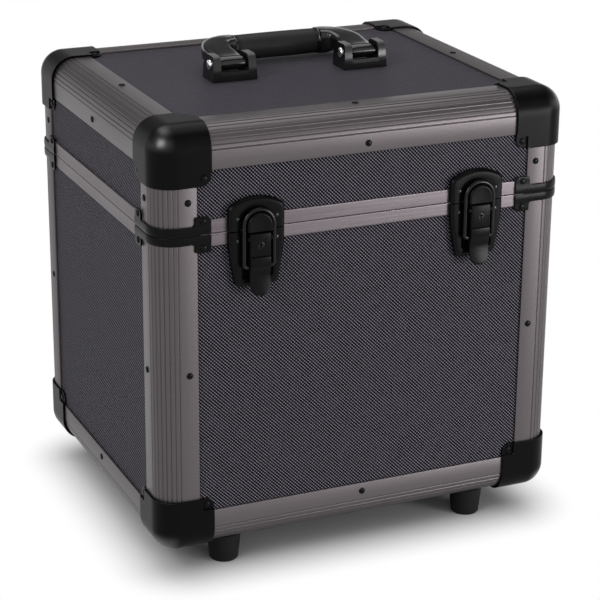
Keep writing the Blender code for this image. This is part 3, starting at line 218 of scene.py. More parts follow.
class Form:
    """Points in millimetres in the case's frame, with each face's corners in one long row."""

    def __init__(self, points, corners, counts):
        self.points, self.corners, self.counts = points, corners, counts

    def __add__(self, other):
        return Form(np.vstack((self.points, other.points)),
                    np.concatenate((self.corners, other.corners + len(self.points))),
                    np.concatenate((self.counts, other.counts)))

    def placed(self, origin, axes):
        """The same form with its three local axes turned to the rows of axes, at an origin."""
        return Form(np.asarray(origin) + self.points @ np.asarray(axes, float), self.corners, self.counts)


def together(forms):
    """Several forms as one."""
    forms = list(forms)
    whole = forms[0]
    for form in forms[1:]:
        whole = whole + form
    return whole


def skin(grid, round_rows=False, round_columns=False):
    """A surface over two parameters: grid[i, j] is its point, and each cell is a quad."""
    rows, columns = grid.shape[:2]
    number = np.arange(rows * columns).reshape(rows, columns)
    if round_rows:
        number = np.vstack((number, number[:1]))
    if round_columns:
        number = np.hstack((number, number[:, :1]))
    quads = np.stack((number[:-1, :-1], number[1:, :-1], number[1:, 1:], number[:-1, 1:]), axis=-1)
    return Form(grid.reshape(-1, 3), quads.reshape(-1), np.full(quads[..., 0].size, 4))


def end_face(points):
    """One flat face round an outline."""
    return Form(points, np.arange(len(points)), np.array([len(points)]))


def swept(sections):
    """A solid whose outline at station i is sections[i], with a flat face at both ends."""
    return skin(sections, round_columns=True) + end_face(sections[0]) + end_face(sections[-1])


def unit(vector):
    """A vector of length one."""
    vector = np.asarray(vector, float)
    return vector / np.linalg.norm(vector)


def turned(profile, place, axis, sides=24):
    """A turned solid: profile rows are radius and height, and a point is place + height * axis
    + radius * (cos t, sin t) across the axis."""
    radii, heights = np.asarray(profile, float).T
    axis = unit(axis)
    first = unit(np.cross(axis, (0, 0, 1) if abs(axis[2]) < 0.9 else (1, 0, 0)))
    second = np.cross(axis, first)
    turn = np.linspace(0, 2 * np.pi, sides, endpoint=False)[:, None]
    circle = np.cos(turn) * first + np.sin(turn) * second
    grid = np.asarray(place, float) + heights[:, None, None] * axis + radii[:, None, None] * circle
    return skin(grid, round_columns=True)


def rod(radius, low, high, place, axis, sides=20):
    """A turned cylinder from low to high along its axis."""
    return turned(((0, low), (radius, low), (radius, high), (0, high)), place, axis, sides)


def head_profile(radius, height, root=0.4, steps=5):
    """A rivet or screw head: a flat root, a short side and an elliptic dome."""
    turn = np.linspace(0, np.pi / 2, steps + 1)
    rows = [(0, -root), (radius, -root), (radius, 0.15 * height)]
    dome = np.stack((radius * np.cos(turn), height * (0.15 + 0.85 * np.sin(turn))), axis=-1)
    return np.vstack((rows, dome))


def arc(centre, radius, start, end, steps):
    """Points on a circular arc between two headings in degrees."""
    turn = np.radians(np.linspace(start, end, steps + 1))
    return np.stack((centre[0] + radius * np.cos(turn), centre[1] + radius * np.sin(turn)), axis=-1)


def round_corner(radius, reach, heading):
    """Insets from two faces of points at a reach and heading about the middle of their rounded corner:
    radius - reach * (sin, cos)."""
    return np.stack((radius - reach * np.sin(heading), radius - reach * np.cos(heading)), axis=-1)


def at_corner(case, signs, inset_x, inset_y, level):
    """Points at insets from the two sides of the case that meet at an upright edge."""
    return np.stack((signs[0] * (case.width / 2 - inset_x), signs[1] * (case.depth / 2 - inset_y), level),
                    axis=-1)


def step_up(value, low, high):
    """0 below low, 1 above high, and 3t^2 - 2t^3 between."""
    share = np.clip((value - low) / (high - low), 0, 1)
    return share * share * (3 - 2 * share)


def along_edge(case, axis, signs, outline, stations):
    """Carries an outline along an edge of the case. Its rows are distances in from the two faces
    that meet at the edge, and stations are the body-frame coordinates along the axis."""
    half = np.array((case.width, case.depth, case.height)) / 2
    middle = np.array((0, 0, case.height / 2))
    across = [other for other in range(3) if other != axis]
    grid = np.empty((len(stations), len(outline), 3))
    for column, other in enumerate(across):
        grid[..., other] = middle[other] + signs[column] * (half[other] - outline[None, :, column])
    grid[..., axis] = np.asarray(stations, float)[:, None]
    return swept(grid)


def on_front(case, latch, side):
    """Origin and axes that put a latch's u, v and outward n on the case's front at the split."""
    origin = (SIDES[side] * latch.spacing / 2, -case.depth / 2, case.split)
    return origin, ((1, 0, 0), (0, 0, 1), (0, -1, 0))


def catmull_rom(rows, steps):
    """A smooth curve through every row: each span is the Catmull-Rom cubic of its four neighbours."""
    rows = np.asarray(rows, float)
    padded = np.vstack((2 * rows[0] - rows[1], rows, 2 * rows[-1] - rows[-2]))
    share = np.linspace(0, 1, steps, endpoint=False)[None, :, None]
    before, start, end, after = (padded[k:len(padded) - 3 + k, None, :] for k in range(4))
    curve = 0.5 * (2 * start + (end - before) * share
                   + (2 * before - 5 * start + 4 * end - after) * share ** 2
                   + (3 * start - before - 3 * end + after) * share ** 3)
    return np.vstack((curve.reshape(-1, rows.shape[1]), rows[-1:]))


def soften(mesh, sharp=SHARP):
    """Shades a mesh smooth, with its sharp edges kept."""
    mesh.shade_smooth()
    mesh.set_sharp_from_angle(angle=math.radians(sharp))


def build(name, form, look, body, replaces=(), sharp=SHARP, wall=None, bevel=None, inside=None):
    """Makes a piece from a form: merges its seams, turns its faces outwards, adds a wall and rounded
    edges where asked, and hangs it on its body."""
    mesh = bpy.data.meshes.new(name)
    mesh.vertices.add(len(form.points))
    mesh.vertices.foreach_set("co", ((form.points + CASE_ORIGIN) * MM).ravel())
    mesh.loops.add(len(form.corners))
    mesh.loops.foreach_set("vertex_index", form.corners)
    mesh.polygons.add(len(form.counts))
    mesh.polygons.foreach_set("loop_start", np.cumsum(form.counts) - form.counts)
    mesh.update(calc_edges=True)
    shape = bmesh.new()
    shape.from_mesh(mesh)
    bmesh.ops.remove_doubles(shape, verts=shape.verts, dist=SEAM * MM)
    bmesh.ops.dissolve_degenerate(shape, edges=shape.edges, dist=SLIVER * MM)
    bmesh.ops.recalc_face_normals(shape, faces=shape.faces)
    shape.to_mesh(mesh)
    shape.free()
    if inside is not None:
        face_outwards(mesh, inside)
    soften(mesh, sharp)
    piece = bpy.data.objects.new(name, mesh)
    bpy.context.scene.collection.objects.link(piece)
    mesh.materials.append(look)
    if wall:
        solid = piece.modifiers.new("wall", "SOLIDIFY")
        solid.thickness = wall * MM
        solid.offset = -1
        solid.use_even_offset = True
    if bevel:
        edges = piece.modifiers.new("edges", "BEVEL")
        edges.width = bevel * MM
        edges.segments = 2
        edges.limit_method = "ANGLE"
        edges.angle_limit = math.radians(ROUNDED)
    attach(piece, body)
    if replaces:
        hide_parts(*replaces)
    return piece


def face_outwards(mesh, inside):
    """Turns a sheet's faces away from a point inside it, so that its wall grows inwards."""
    count = len(mesh.polygons)
    centres = np.empty(count * 3, np.float32)
    normals = np.empty(count * 3, np.float32)
    mesh.polygons.foreach_get("center", centres)
    mesh.polygons.foreach_get("normal", normals)
    away = centres.reshape(-1, 3) - (np.asarray(inside) + CASE_ORIGIN) * MM
    if np.sum(away * normals.reshape(-1, 3)) < 0:
        mesh.flip_normals()


def cut(piece, cutters):
    """Cuts forms out of a piece and keeps the result."""
    tools = []
    for index, form in enumerate(cutters):
        tool = build(f"{piece.name}_cutter_{index}", form, piece.data.materials[0], "base")
        tools.append(tool)
        modifier = piece.modifiers.new(tool.name, "BOOLEAN")
        modifier.operation = "DIFFERENCE"
        modifier.solver = "EXACT"
        modifier.object = tool
    mesh = bpy.data.meshes.new_from_object(piece.evaluated_get(bpy.context.evaluated_depsgraph_get()))
    old_mesh = piece.data
    piece.modifiers.clear()
    piece.data = mesh
    mesh.name = piece.name
    bpy.data.meshes.remove(old_mesh)
    for tool in tools:
        bpy.data.objects.remove(tool)
    soften(mesh)


def refinish(node, look):
    """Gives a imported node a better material."""
    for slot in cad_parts[node].material_slots:
        slot.material = look


# Materials

class Field:
    """A number that varies over a surface, for use in sums."""

    def __init__(self, nodes, socket):
        self.nodes, self.socket = nodes, socket

    def maths(self, operation, *others):
        """A Math node over this and other values."""
        inputs = dict(enumerate((self, *others)))
        node = self.nodes.add("ShaderNodeMath", {"operation": operation}, inputs)
        return Field(self.nodes, node.outputs[0])

    def __add__(self, other):
        return self.maths("ADD", other)

    def __sub__(self, other):
        return self.maths("SUBTRACT", other)

    def __mul__(self, other):
        return self.maths("MULTIPLY", other)

    __radd__ = __add__
    __rmul__ = __mul__

    def between(self, low, high):
        """0 below low, 1 above high and smooth between."""
        inputs = {"Value": self, "From Min": low, "From Max": high}
        node = self.nodes.add("ShaderNodeMapRange", {"interpolation_type": "SMOOTHSTEP"}, inputs)
        return Field(self.nodes, node.outputs[0])

    def past(self, reach):
        """How far it lies outside a span that reaches as far both ways from zero."""
        return (self.maths("ABSOLUTE") - reach).maths("MAXIMUM", 0.0)


class Nodes:
    """The nodes of a material or a world, on one of Texture Coordinate's outputs."""

    def __init__(self, tree, coordinate):
        self.tree = tree
        self.tree.nodes.clear()
        self.place = self.add("ShaderNodeTexCoord").outputs[coordinate]
        self.x, self.y, self.z = self.parts(self.place)

    def add(self, kind, settings=None, inputs=None):
        """A node of a type, with its settings first and then the values or links of its sockets."""
        node = self.tree.nodes.new(kind)
        for key, value in (settings or {}).items():
            setattr(node, key, value)
        for key, value in (inputs or {}).items():
            socket = node.inputs[key]
            value = value.socket if isinstance(value, Field) else value
            if isinstance(value, bpy.types.NodeSocket):
                self.tree.links.new(value, socket)
            else:
                socket.default_value = value
        return node

    def parts(self, vector):
        """The three parts of a vector."""
        return [Field(self, part) for part in self.add("ShaderNodeSeparateXYZ", {}, {0: vector}).outputs]

    def mixed(self, share, first, second):
        """A colour between two, by a share."""
        ends = [end if isinstance(end, bpy.types.NodeSocket) else (*end, 1) for end in (first, second)]
        inputs = {"Factor": share, 6: ends[0], 7: ends[1]}
        return self.add("ShaderNodeMix", {"data_type": "RGBA"}, inputs).outputs[2]


class Finish(Nodes):
    """One material, built from nodes on Object coordinates."""

    def __init__(self, name):
        self.material = bpy.data.materials.new(name)
        self.material.use_nodes = True
        super().__init__(self.material.node_tree, "Object")

    def stretched(self, scales):
        """The place on the piece, multiplied along each axis."""
        inputs = {0: self.place, 1: scales}
        return self.add("ShaderNodeVectorMath", {"operation": "MULTIPLY"}, inputs).outputs[0]

    def noise(self, scale, detail=2.0, place=None):
        """Noise from 0 to 1, with its grain size in cycles to a metre."""
        inputs = {"Vector": place if place is not None else self.place, "Scale": scale, "Detail": detail}
        return Field(self, self.add("ShaderNodeTexNoise", {}, inputs).outputs[0])

    def bump(self, height, distance, strength):
        """A bump of this height, with its distance in millimetres."""
        inputs = {"Height": height, "Distance": distance * MM, "Strength": strength}
        return self.add("ShaderNodeBump", {}, inputs).outputs[0]

    def made(self, **sockets):
        """The finished material, with the shader's sockets by name."""
        inputs = {key.replace("_", " ").title().replace("Ior", "IOR"): value
                  for key, value in sockets.items()}
        shader = self.add("ShaderNodeBsdfPrincipled", {}, inputs)
        self.add("ShaderNodeOutputMaterial", {}, {"Surface": shader.outputs[0]})
        return self.material


def shade(value, factor):
    """A colour made darker or lighter."""
    return tuple(min(1.0, part * factor) for part in value)


# The diagonal ribs of the laminate: their pitch in mm, and the strength of the two sets. The stronger set
# stands for light from one side in the painted highlight on the dots.
RIB_PITCH = 3.03
RIB_SHARES = 0.68, 0.32


def laminate(name, across, up, colours):
    """Embossed laminate: dots where two sets of diagonal ribs cross, of which one is the stronger:
    share cos(2 pi (u + v) / pitch) + other share cos(2 pi (u - v) / pitch). The dots take a far lighter
    colour than the ground between them, a painted highlight on the relief."""
    finish = Finish(name)
    turns = 2 * math.pi / (RIB_PITCH * MM)
    u, v = getattr(finish, across), getattr(finish, up)
    ribs = [(line * turns).maths("COSINE") * share for line, share in zip((u + v, u - v), RIB_SHARES)]
    raised = (ribs[0] + ribs[1]).between(0.08, 0.75)
    mottle = finish.noise(90, 3)
    # Painted highlight: the dots are coloured much lighter, as if lit.
    tint = finish.mixed(raised, colours.laminate_dark, colours.laminate_dot_highlight)
    worn = finish.mixed(mottle.between(0.35, 0.75) * 0.12, tint, shade(colours.laminate_dot_highlight, 0.4))
    return finish.made(base_color=worn, roughness=0.46 + 0.10 * raised + 0.08 * mottle,
                       normal=finish.bump(raised, 0.10, 0.8), specular_ior_level=0.02)


def painted_groove_shade(finish, axis):
    """1 in the grooves of an angle along an axis: where -cos(4 n t) nears 1, with n grooves in the
    quarter turn and t the heading about the middle of the edge's arc. It marks where the grooves are
    darkened as painted shade."""
    case = in_millimetres(bpy.context.scene.case_sizes)
    half = {"x": case.width / 2, "y": case.depth / 2, "z": case.height / 2}
    middle = dict(zip("xyz", CASE_ORIGIN + (0, 0, case.height / 2)))
    sides = [(getattr(finish, other) - middle[other] * MM).past((half[other] - case.angle_radius) * MM)
             for other in "xyz".replace(axis, "")]
    heading = sides[0].maths("ARCTAN2", sides[1])
    return (heading * (4.0 * case.groove_count)).maths("COSINE").between(-0.55, -0.93)


def brushed(name, tint, grain, roughness, streak, shade_grooves=False, across=2600.0, along=12.0):
    """Drawn aluminium: noise stretched along the grain streaks its colour, gloss and surface. Where asked,
    the grooves are darkened as painted shade. Across and along are its cycles to a metre."""
    finish = Finish(name)
    scales = tuple(along if axis in grain else across for axis in "xyz")
    fine = finish.noise(1.0, 3, finish.stretched(scales))
    coarse = finish.noise(1.0, 2, finish.stretched(tuple(scale / 7 for scale in scales)))
    cloud = finish.noise(18, 2)
    lines = finish.mixed(fine * 0.6 + coarse * 0.4, shade(tint, 1 - streak), shade(tint, 1 + streak))
    toned = finish.mixed(cloud.between(0.3, 0.8) * 0.18, lines, shade(tint, 0.8))
    # Painted shade: the grooves' colour is darkened towards a quarter of the tint.
    if shade_grooves:
        toned = finish.mixed(painted_groove_shade(finish, grain) * 0.4, toned, shade(tint, 0.25))
    return finish.made(base_color=toned, metallic=0.9, normal=finish.bump(fine, 0.012, 0.5),
                       roughness=roughness - 0.06 + 0.14 * fine + 0.06 * cloud)


def moulded(name, tint, roughness, grain_size, grain_height, gloss=0.10, polish=0.0):
    """Moulded or painted surface: a fine orange-peel grain, faint clouds and dust in its gloss. Corners
    that hands and cloths rub, whose normals lean all three ways, are polished."""
    finish = Finish(name)
    normal = finish.parts(finish.add("ShaderNodeTexCoord").outputs["Normal"])
    lean_x, lean_y, lean_z = [part.maths("ABSOLUTE") for part in normal]
    rubbed = lean_z.between(0.0, 0.5) * lean_x.between(0.0, 0.5) * lean_y.between(0.0, 0.5)
    grain = finish.noise(1 / (grain_size * MM), 3)
    cloud = finish.noise(35, 3)
    dust = finish.noise(900, 2).between(0.68, 0.8)
    base = finish.mixed(cloud.between(0.3, 0.75) * 0.5, tint, shade(tint, 1.4))
    dusty = finish.mixed(dust * 0.03, base, (0.08, 0.08, 0.08))
    return finish.made(base_color=dusty, roughness=roughness + 0.08 * (grain - 0.5) + 0.08 * cloud,
                       normal=finish.bump(grain, grain_height, 0.6), specular_ior_level=gloss,
                       coat_weight=rubbed * polish, coat_roughness=0.33)


def foam(name, tint):
    """Open foam: small cells seen as pits of differing depth."""
    finish = Finish(name)
    cells = finish.add("ShaderNodeTexVoronoi", {}, {"Vector": finish.place, "Scale": 900.0}).outputs[0]
    pits = Field(finish, cells).between(0.1, 0.7)
    return finish.made(base_color=finish.mixed(pits, shade(tint, 1.6), shade(tint, 0.5)),
                       roughness=0.9 + 0.08 * pits, normal=finish.bump(pits, 0.3, 0.7))


def steel(name, tint, roughness):
    """Plated steel with faint turning marks and smudges."""
    finish = Finish(name)
    smudge = finish.noise(160, 3)
    return finish.made(base_color=finish.mixed(smudge, shade(tint, 0.85), shade(tint, 1.1)), metallic=1.0,
                       roughness=roughness + 0.15 * smudge,
                       normal=finish.bump(finish.noise(2500, 2), 0.01, 0.4))


# The materials that were made so far.
MATERIALS = {}


def material(key):
    """A material by its name here, made the first time that it is asked for."""
    if key not in MATERIALS:
        colours = bpy.context.scene.case_finishes
        recipes = {
            "rim": lambda: brushed("brushed_rim", colours.rim, "xy", 0.36, 0.6, across=1200.0),
            "cap": lambda: moulded("moulded_cap", colours.cap, 0.28, 0.5, 0.02, 0.055, 1.0),
            "latch": lambda: moulded("black_latch", colours.latch, 0.24, 0.4, 0.012, 0.075),
            "handle": lambda: moulded("gloss_handle", colours.handle, 0.13, 0.8, 0.008, 0.40),
            "grip": lambda: moulded("soft_grip", colours.grip, 0.42, 0.3, 0.03),
            "rubber": lambda: moulded("foot_rubber", colours.rubber, 0.50, 0.4, 0.03),
            "foam": lambda: foam("foam_lining", colours.foam),
            "hinge": lambda: steel("hinge_steel", colours.steel, 0.30),
            "bright": lambda: steel("pin_steel", shade(colours.steel, 1.5), 0.16),
            "wire": lambda: moulded("black_wire", colours.latch, 0.15, 0.4, 0.006, 0.20),
            "lock": lambda: steel("lock_steel", shade(colours.steel, 0.035), 0.20),
        }
        for way, across, up in (("front", "x", "z"), ("side", "y", "z"), ("flat", "x", "y")):
            recipes[f"board_{way}"] = partial(laminate, f"laminate_{way}", across, up, colours)
        for axis in "xyz":
            recipes[f"angle_{axis}"] = partial(brushed, f"anodised_along_{axis}", colours.angle, axis,
                                               0.36, 0.12, shade_grooves=True)
        MATERIALS[key] = recipes[key]()
    return MATERIALS[key]


# Pieces

def angle_outline(case):
    """Section of the angle, as distances in from its two faces. The outside is two straight legs and
    an arc, sunk at each groove by depth * exp(-(distance / half width)^4); the inside is its offset."""
    share = np.linspace(0, 1, case.groove_count * 16 + 1)
    arc_length = case.angle_radius * np.pi / 2
    from_groove = ((share * case.groove_count) % 1 - 0.5) * arc_length / case.groove_count
    depth = case.groove_depth * np.exp(-(from_groove / (case.groove_width / 2)) ** 4)
    outer = round_corner(case.angle_radius, case.angle_radius - depth, share * np.pi / 2)
    inner = round_corner(case.angle_radius, case.angle_radius - case.angle_wall,
                         np.linspace(np.pi / 2, 0, 9))
    leg, wall, ease = case.angle_leg, case.angle_wall, 0.35
    first = np.array(((leg, wall), (leg, ease), (leg - 0.3 * ease, 0.3 * ease), (leg - ease, 0)))
    return np.vstack((first, outer, first[::-1, ::-1], inner))


def make_angles(case):
    """Builds the posts and the rails round the new section, over each packed one's length."""
    outline = angle_outline(case)
    half_width, half_depth = case.width / 2 - case.angle_start, case.depth / 2 - case.angle_start
    for body, level, span in (("base", -1, (case.angle_start, case.split - case.post_overrun)),
                              ("lid", 1, (case.split + case.post_overrun, case.height - case.angle_start))):
        lengths = [(f"post_{corner}", 2, signs, span) for corner, signs in CORNERS.items()]
        lengths += [(f"rail_{face}", axis, (sign, level), (-half, half)) for face, axis, sign, half in (
            ("front", 0, -1, half_width), ("back", 0, 1, half_width),
            ("left", 1, -1, half_depth), ("right", 1, 1, half_depth))]
        for name, axis, signs, stations in lengths:
            node = f"{body}_{name}"
            build(f"{node}_angle", along_edge(case, axis, signs, outline, stations),
                  material(f"angle_{'xyz'[axis]}"), body, (node,), sharp=50)


def face_places(case, inset, proud, level):
    """Places on both faces beside every upright edge, with each face's outward direction."""
    places = []
    for sx, sy in CORNERS.values():
        places += [(at_corner(case, (sx, sy), inset, -proud, level), (0, sy, 0)),
                   (at_corner(case, (sx, sy), -proud, inset, level), (sx, 0, 0))]
    return places


def make_rivets(case, corner):
    """Sets every black rivet of the trim: in the posts, collars' ears, caps' ears and rails."""
    profile = head_profile(case.rivet_radius, case.rivet_height)
    ear_level = (corner.collar_band + corner.collar_ear) / 2
    ear_middle = corner.collar_reach - corner.collar_ear_width / 2
    base_post = case.split * 0.57
    lid_post = case.split + (corner.collar_ear + case.height - case.split - corner.cap_reach) / 2
    inset, cap = case.rivet_inset, corner.cap_rivet
    for body, sign, post, end in (("base", -1, base_post, 0), ("lid", 1, lid_post, case.height)):
        places = face_places(case, inset, 0, post)
        places += face_places(case, ear_middle, corner.collar_proud, case.split + sign * ear_level)
        places += face_places(case, cap, 0, end - sign * cap)
        places += [(at_corner(case, signs, cap, cap, end), (0, 0, sign)) for signs in CORNERS.values()]
        for side in (-1, 1):
            places += [((0, side * (case.depth / 2 - inset), end), (0, 0, sign)),
                       ((0, side * case.depth / 2, end - sign * inset), (0, side, 0)),
                       ((side * (case.width / 2 - inset), 0, end), (0, 0, sign)),
                       ((side * case.width / 2, 0, end - sign * inset), (side, 0, 0))]
        form = together(turned(profile, place, axis, 20) for place, axis in places)
        build(f"{body}_rivets", form, material("latch"), body)


def ring_grid(case, outline):
    """Carries an outline of insets and levels round the case. Each corner is an arc, so a point is the
    corner's centre plus (radius - inset) * (cos t, sin t). A little past the posts' legs the outer wall
    steps in behind them."""
    inset, level = np.asarray(outline, float).T
    outer = inset <= case.angle_wall
    near, far = np.array((1.5, 2.5)) + case.angle_leg - case.angle_radius
    rows = []
    for turn, (sx, sy) in enumerate(((1, 1), (-1, 1), (-1, -1), (1, -1))):
        heading = np.radians(np.linspace(90 * turn, 90 * turn + 90, 13))
        heading = np.concatenate((heading[:1], heading[:1], heading, heading[-1:], heading[-1:]))[:, None]
        run = np.zeros(heading.shape)
        run[:2, 0], run[-2:, 0] = (far, near), (near, far)
        sink = np.full(heading.shape, case.rim_sink)
        sink[0], sink[-1] = 0, 0
        reach = case.angle_radius - inset[None, :] - sink * outer[None, :]
        turned_x = turn % 2 == 0
        ahead = np.arange(len(heading))[:, None] > len(heading) / 2
        run_x = run * np.where(ahead == turned_x, 1, 0)
        run_y = run * np.where(ahead == turned_x, 0, 1)
        x = sx * (case.width / 2 - case.angle_radius - run_x) + reach * np.cos(heading)
        y = sy * (case.depth / 2 - case.angle_radius - run_y) + reach * np.sin(heading)
        rows.append(np.stack((x, y, np.broadcast_to(case.split + level, x.shape)), axis=-1))
    return np.vstack(rows)


def make_rims(case):
    """Builds the two bright strips: the base's with its tongue and the lid's with its rebate. A strip's
    section is its outer face with eased edges, the seat at the split, and a channel for the boards."""
    gap, ease, nick, flat, wall, web = 0.15, 0.45, 0.13, 1, 1.5, 4.5
    inner, flange = 10.6, 9.1
    tongue = ((8.1, -gap), (8.1, 4.6), (8.5, 5), (9.7, 5), (10.1, 4.6), (10.1, -gap), (inner, -gap))
    rebate = ((7.6, gap), (7.6, 5.5), (inner, 5.5))
    for body, sign, far, floor, seat in (("base", -1, -case.base_rim, -web, tongue),
                                         ("lid", 1, case.lid_rim, case.lid_rim - web, rebate)):
        near = sign * gap
        outline = ((0, far - sign * ease), (0, far - sign * flat), (0, near + sign * flat),
                   (0, near + sign * ease), (nick, near + sign * nick), (ease, near), *seat, (inner, far),
                   (flange, far), (flange, floor), (wall, floor), (wall, far), (ease, far),
                   (nick, far - sign * nick))
        form = skin(ring_grid(case, outline), round_rows=True, round_columns=True)
        build(f"{body}_rim_strip", form, material("rim"), body, (f"{body}_rim",))


def collar_form(case, corner, signs, direction):
    """One collar's outer face over (along, up): along runs down one leg, round the corner and up the
    other, and up runs from the gap to a top that is low on the band, with filleted, rounded ears. It
    bulges by 0.35 (1 - (2 up / band - 1)^2)."""
    reach, low, high = corner.collar_reach, corner.collar_band, corner.collar_ear
    start = reach - corner.collar_ear_width
    leg = np.vstack((arc((reach - 3, high - 3), 3, 0, 90, 6),
                     arc((start + 1.4, high - 1.4), 1.4, 90, 178, 5),
                     arc((start - 2.2, low + 2.2), 2.2, -2, -90, 6),
                     ((start - 6, low), (case.angle_radius, low))))
    heading = np.radians(np.linspace(0, 90, 17))[1:-1]
    bend = round_corner(case.angle_radius, case.angle_radius + corner.collar_proud, heading)
    first = np.stack((leg[:, 0], np.full(len(leg), -corner.collar_proud)), axis=-1)
    path = np.vstack((first, bend, first[::-1, ::-1]))
    outward = np.vstack((np.tile((0, -1), (len(leg), 1)),
                         -np.stack((np.sin(heading), np.cos(heading)), axis=-1),
                         np.tile((-1, 0), (len(leg), 1))))
    top = np.concatenate((leg[:, 1], np.full(len(bend), low), leg[::-1, 1]))
    rise = corner.collar_gap + np.linspace(0, 1, 7)[:, None] * (top[None, :] - corner.collar_gap)
    bulge = 0.35 * np.clip(1 - (2 * rise / low - 1) ** 2, 0, 1)
    inset = path[None] + bulge[..., None] * outward[None]
    return skin(at_corner(case, signs, inset[..., 0], inset[..., 1], case.split + direction * rise))


def make_collars(case, corner):
    """Builds the black collars round the upright edges, one above and one below the split."""
    for body, direction in (("base", -1), ("lid", 1)):
        for name, signs in CORNERS.items():
            form = collar_form(case, corner, signs, direction)
            build(f"{body}_collar_{name}", form, material("latch"), body,
                  wall=corner.collar_wall, bevel=0.25, inside=(0, 0, case.split))


def cap_form(case, corner, signs, top):
    """A corner cap's outer face in three patches, one to a face. Over (b, c) a patch is flat out to the
    cap's edge and swings through 45 degrees to meet the next: centre + radius * (1, tan b, tan c) /
    length. Past the pocket line in both directions it steps down, and its far corner is a square mapped
    to a disc."""
    proud, radius, rounding = corner.cap_proud, corner.cap_radius, corner.cap_ear_radius
    reach, pocket, half_step = corner.cap_reach, corner.cap_pocket, 0.3
    centre, disc = radius - proud, reach - rounding
    flat = np.concatenate((np.linspace(reach, disc, 9), np.linspace(disc, pocket + 0.5, 4)[1:],
                           np.linspace(pocket + half_step, pocket - half_step, 4),
                           np.linspace(pocket - 2 * half_step, centre, 7)))
    swing = np.linspace(0, np.pi / 4, 9)[1:]
    position = np.concatenate((flat, np.full(len(swing), centre)))
    angle = np.concatenate((np.zeros(len(flat)), swing))
    b, c = np.meshgrid(position, position, indexing="ij")
    tan_b, tan_c = np.meshgrid(np.tan(angle), np.tan(angle), indexing="ij")
    size = np.sqrt(1 + tan_b ** 2 + tan_c ** 2)
    over_b, over_c = np.clip(b - disc, 0, rounding), np.clip(c - disc, 0, rounding)
    round_b = over_b * np.sqrt(1 - over_c ** 2 / (2 * rounding ** 2))
    round_c = over_c * np.sqrt(1 - over_b ** 2 / (2 * rounding ** 2))
    sunk = proud * (step_up(b, pocket - half_step, pocket + half_step)
                    * step_up(c, pocket - half_step, pocket + half_step))
    depth = centre - radius / size + sunk
    across = b - over_b + round_b - radius * tan_b / size
    along = c - over_c + round_c - radius * tan_c / size
    patch = np.stack((depth, across, along), axis=-1)
    forms = []
    for turn in range(3):
        inset_x, inset_y, inset_z = np.moveaxis(np.roll(patch, turn, axis=-1), -1, 0)
        level = case.height - inset_z if top else inset_z
        forms.append(skin(at_corner(case, signs, inset_x, inset_y, level)))
    return together(forms)


def make_caps(case, corner):
    """Builds the eight moulded corner caps."""
    for body, top in (("base", False), ("lid", True)):
        for name, signs in CORNERS.items():
            node = f"{body}_cap_{name}"
            build(f"{node}_shell", cap_form(case, corner, signs, top), material("cap"), body,
                  (node,), sharp=40, wall=corner.cap_skin, bevel=0.35, inside=(0, 0, case.height / 2))


def make_feet(case, corner):
    """Turns the four rubber feet, with a rounded sole edge, a screw recess and a washer step at the top."""
    top, sole, height = corner.foot_top, corner.foot_sole, corner.foot_height
    side = np.stack((np.linspace(top, sole, 6), np.linspace(-0.6, -height + 2.2, 6)), axis=-1)
    edge = arc((sole - 2.0, -height + 2.0), 2.0, 0, -90, 6)
    profile = np.vstack((((0, 0), (top - 0.6, 0)), side, edge,
                         ((4.4, -height), (4, -height + 0.4), (4, 8 - height), (0, 8 - height))))
    for name, (sx, sy) in CORNERS.items():
        place = (sx * corner.foot_spacing / 2, sy * (case.depth / 2 - corner.foot_inset), -0.3)
        build(f"foot_{name}_rubber", turned(profile, place, (0, 0, 1), 48), material("rubber"), "base",
              (f"foot_{name}",))


def ray_to_line(heading, normal, distance):
    """How far a ray from the origin runs to a straight side with an outward normal."""
    facing = np.cos(heading) * normal[0] + np.sin(heading) * normal[1]
    return np.where(facing > 1e-6, distance / np.maximum(facing, 1e-6), 1e6)


def ray_to_sides(heading, normal, distance):
    """The same for a side on the right and for its mirror image on the left."""
    return [ray_to_line(heading, (sign * normal[0], normal[1]), distance) for sign in (-1, 1)]


def nearest(reaches, sharpness=26):
    """The smallest of several reaches, rounded where two meet: (sum of reach^-p)^(-1/p)."""
    return np.sum(np.stack(reaches) ** -float(sharpness), axis=0) ** (-1 / sharpness)


def circle_reach(heading, radius, rise):
    """Reach to a circle whose centre is this far above the origin."""
    return rise * np.sin(heading) + np.sqrt(np.maximum(radius ** 2 - (rise * np.cos(heading)) ** 2, 0))


def d_reach(heading, radius, rise):
    """Reach to a D-shaped outline: straight sides up to its centre's rise, then a half circle."""
    side = np.minimum(*ray_to_sides(heading, (1, 0), radius))
    return np.where(side * np.sin(heading) <= rise, side, circle_reach(heading, radius, rise))


def tray(heading, rows, foot):
    """A solid seen from the front over (heading, row): each row gives its reach in every direction and
    its level, from the back edge to the middle, and a straight side at foot closes it."""
    direction = np.stack((np.cos(heading), np.sin(heading)), axis=-1)
    columns = []
    for reach, level in rows:
        points = direction * np.asarray(reach)[..., None]
        points[..., 1] += foot
        columns.append(np.column_stack((points, np.full(len(heading), level))))
    grid = np.stack(columns)
    middle = grid[-1].copy()
    middle[:, 0] = 0
    grid = np.concatenate((grid, middle[None]))
    side = np.vstack((grid[:, 0], grid[::-1, -1]))
    return skin(grid) + end_face(grid[0]) + end_face(side)


def plate_rows(outline, channel, latch, back=0.3):
    """Rows of a latch plate: up its edge, over a rounded slope, across the land, down into the channel."""
    front, floor, bevel = latch.plate_front, latch.plate_floor, latch.plate_bevel
    return [(outline(0), back), (outline(0), front - bevel), (outline(0.25 * bevel), front - 0.62 * bevel),
            (outline(0.6 * bevel), front - 0.24 * bevel), (outline(bevel), front - 0.04),
            (outline(bevel + 0.5), front), (channel(0.6), front), (channel(0.2), front - 0.1),
            (channel(0), front - 0.5), (channel(0), floor + 0.4), (channel(-0.3), floor)]


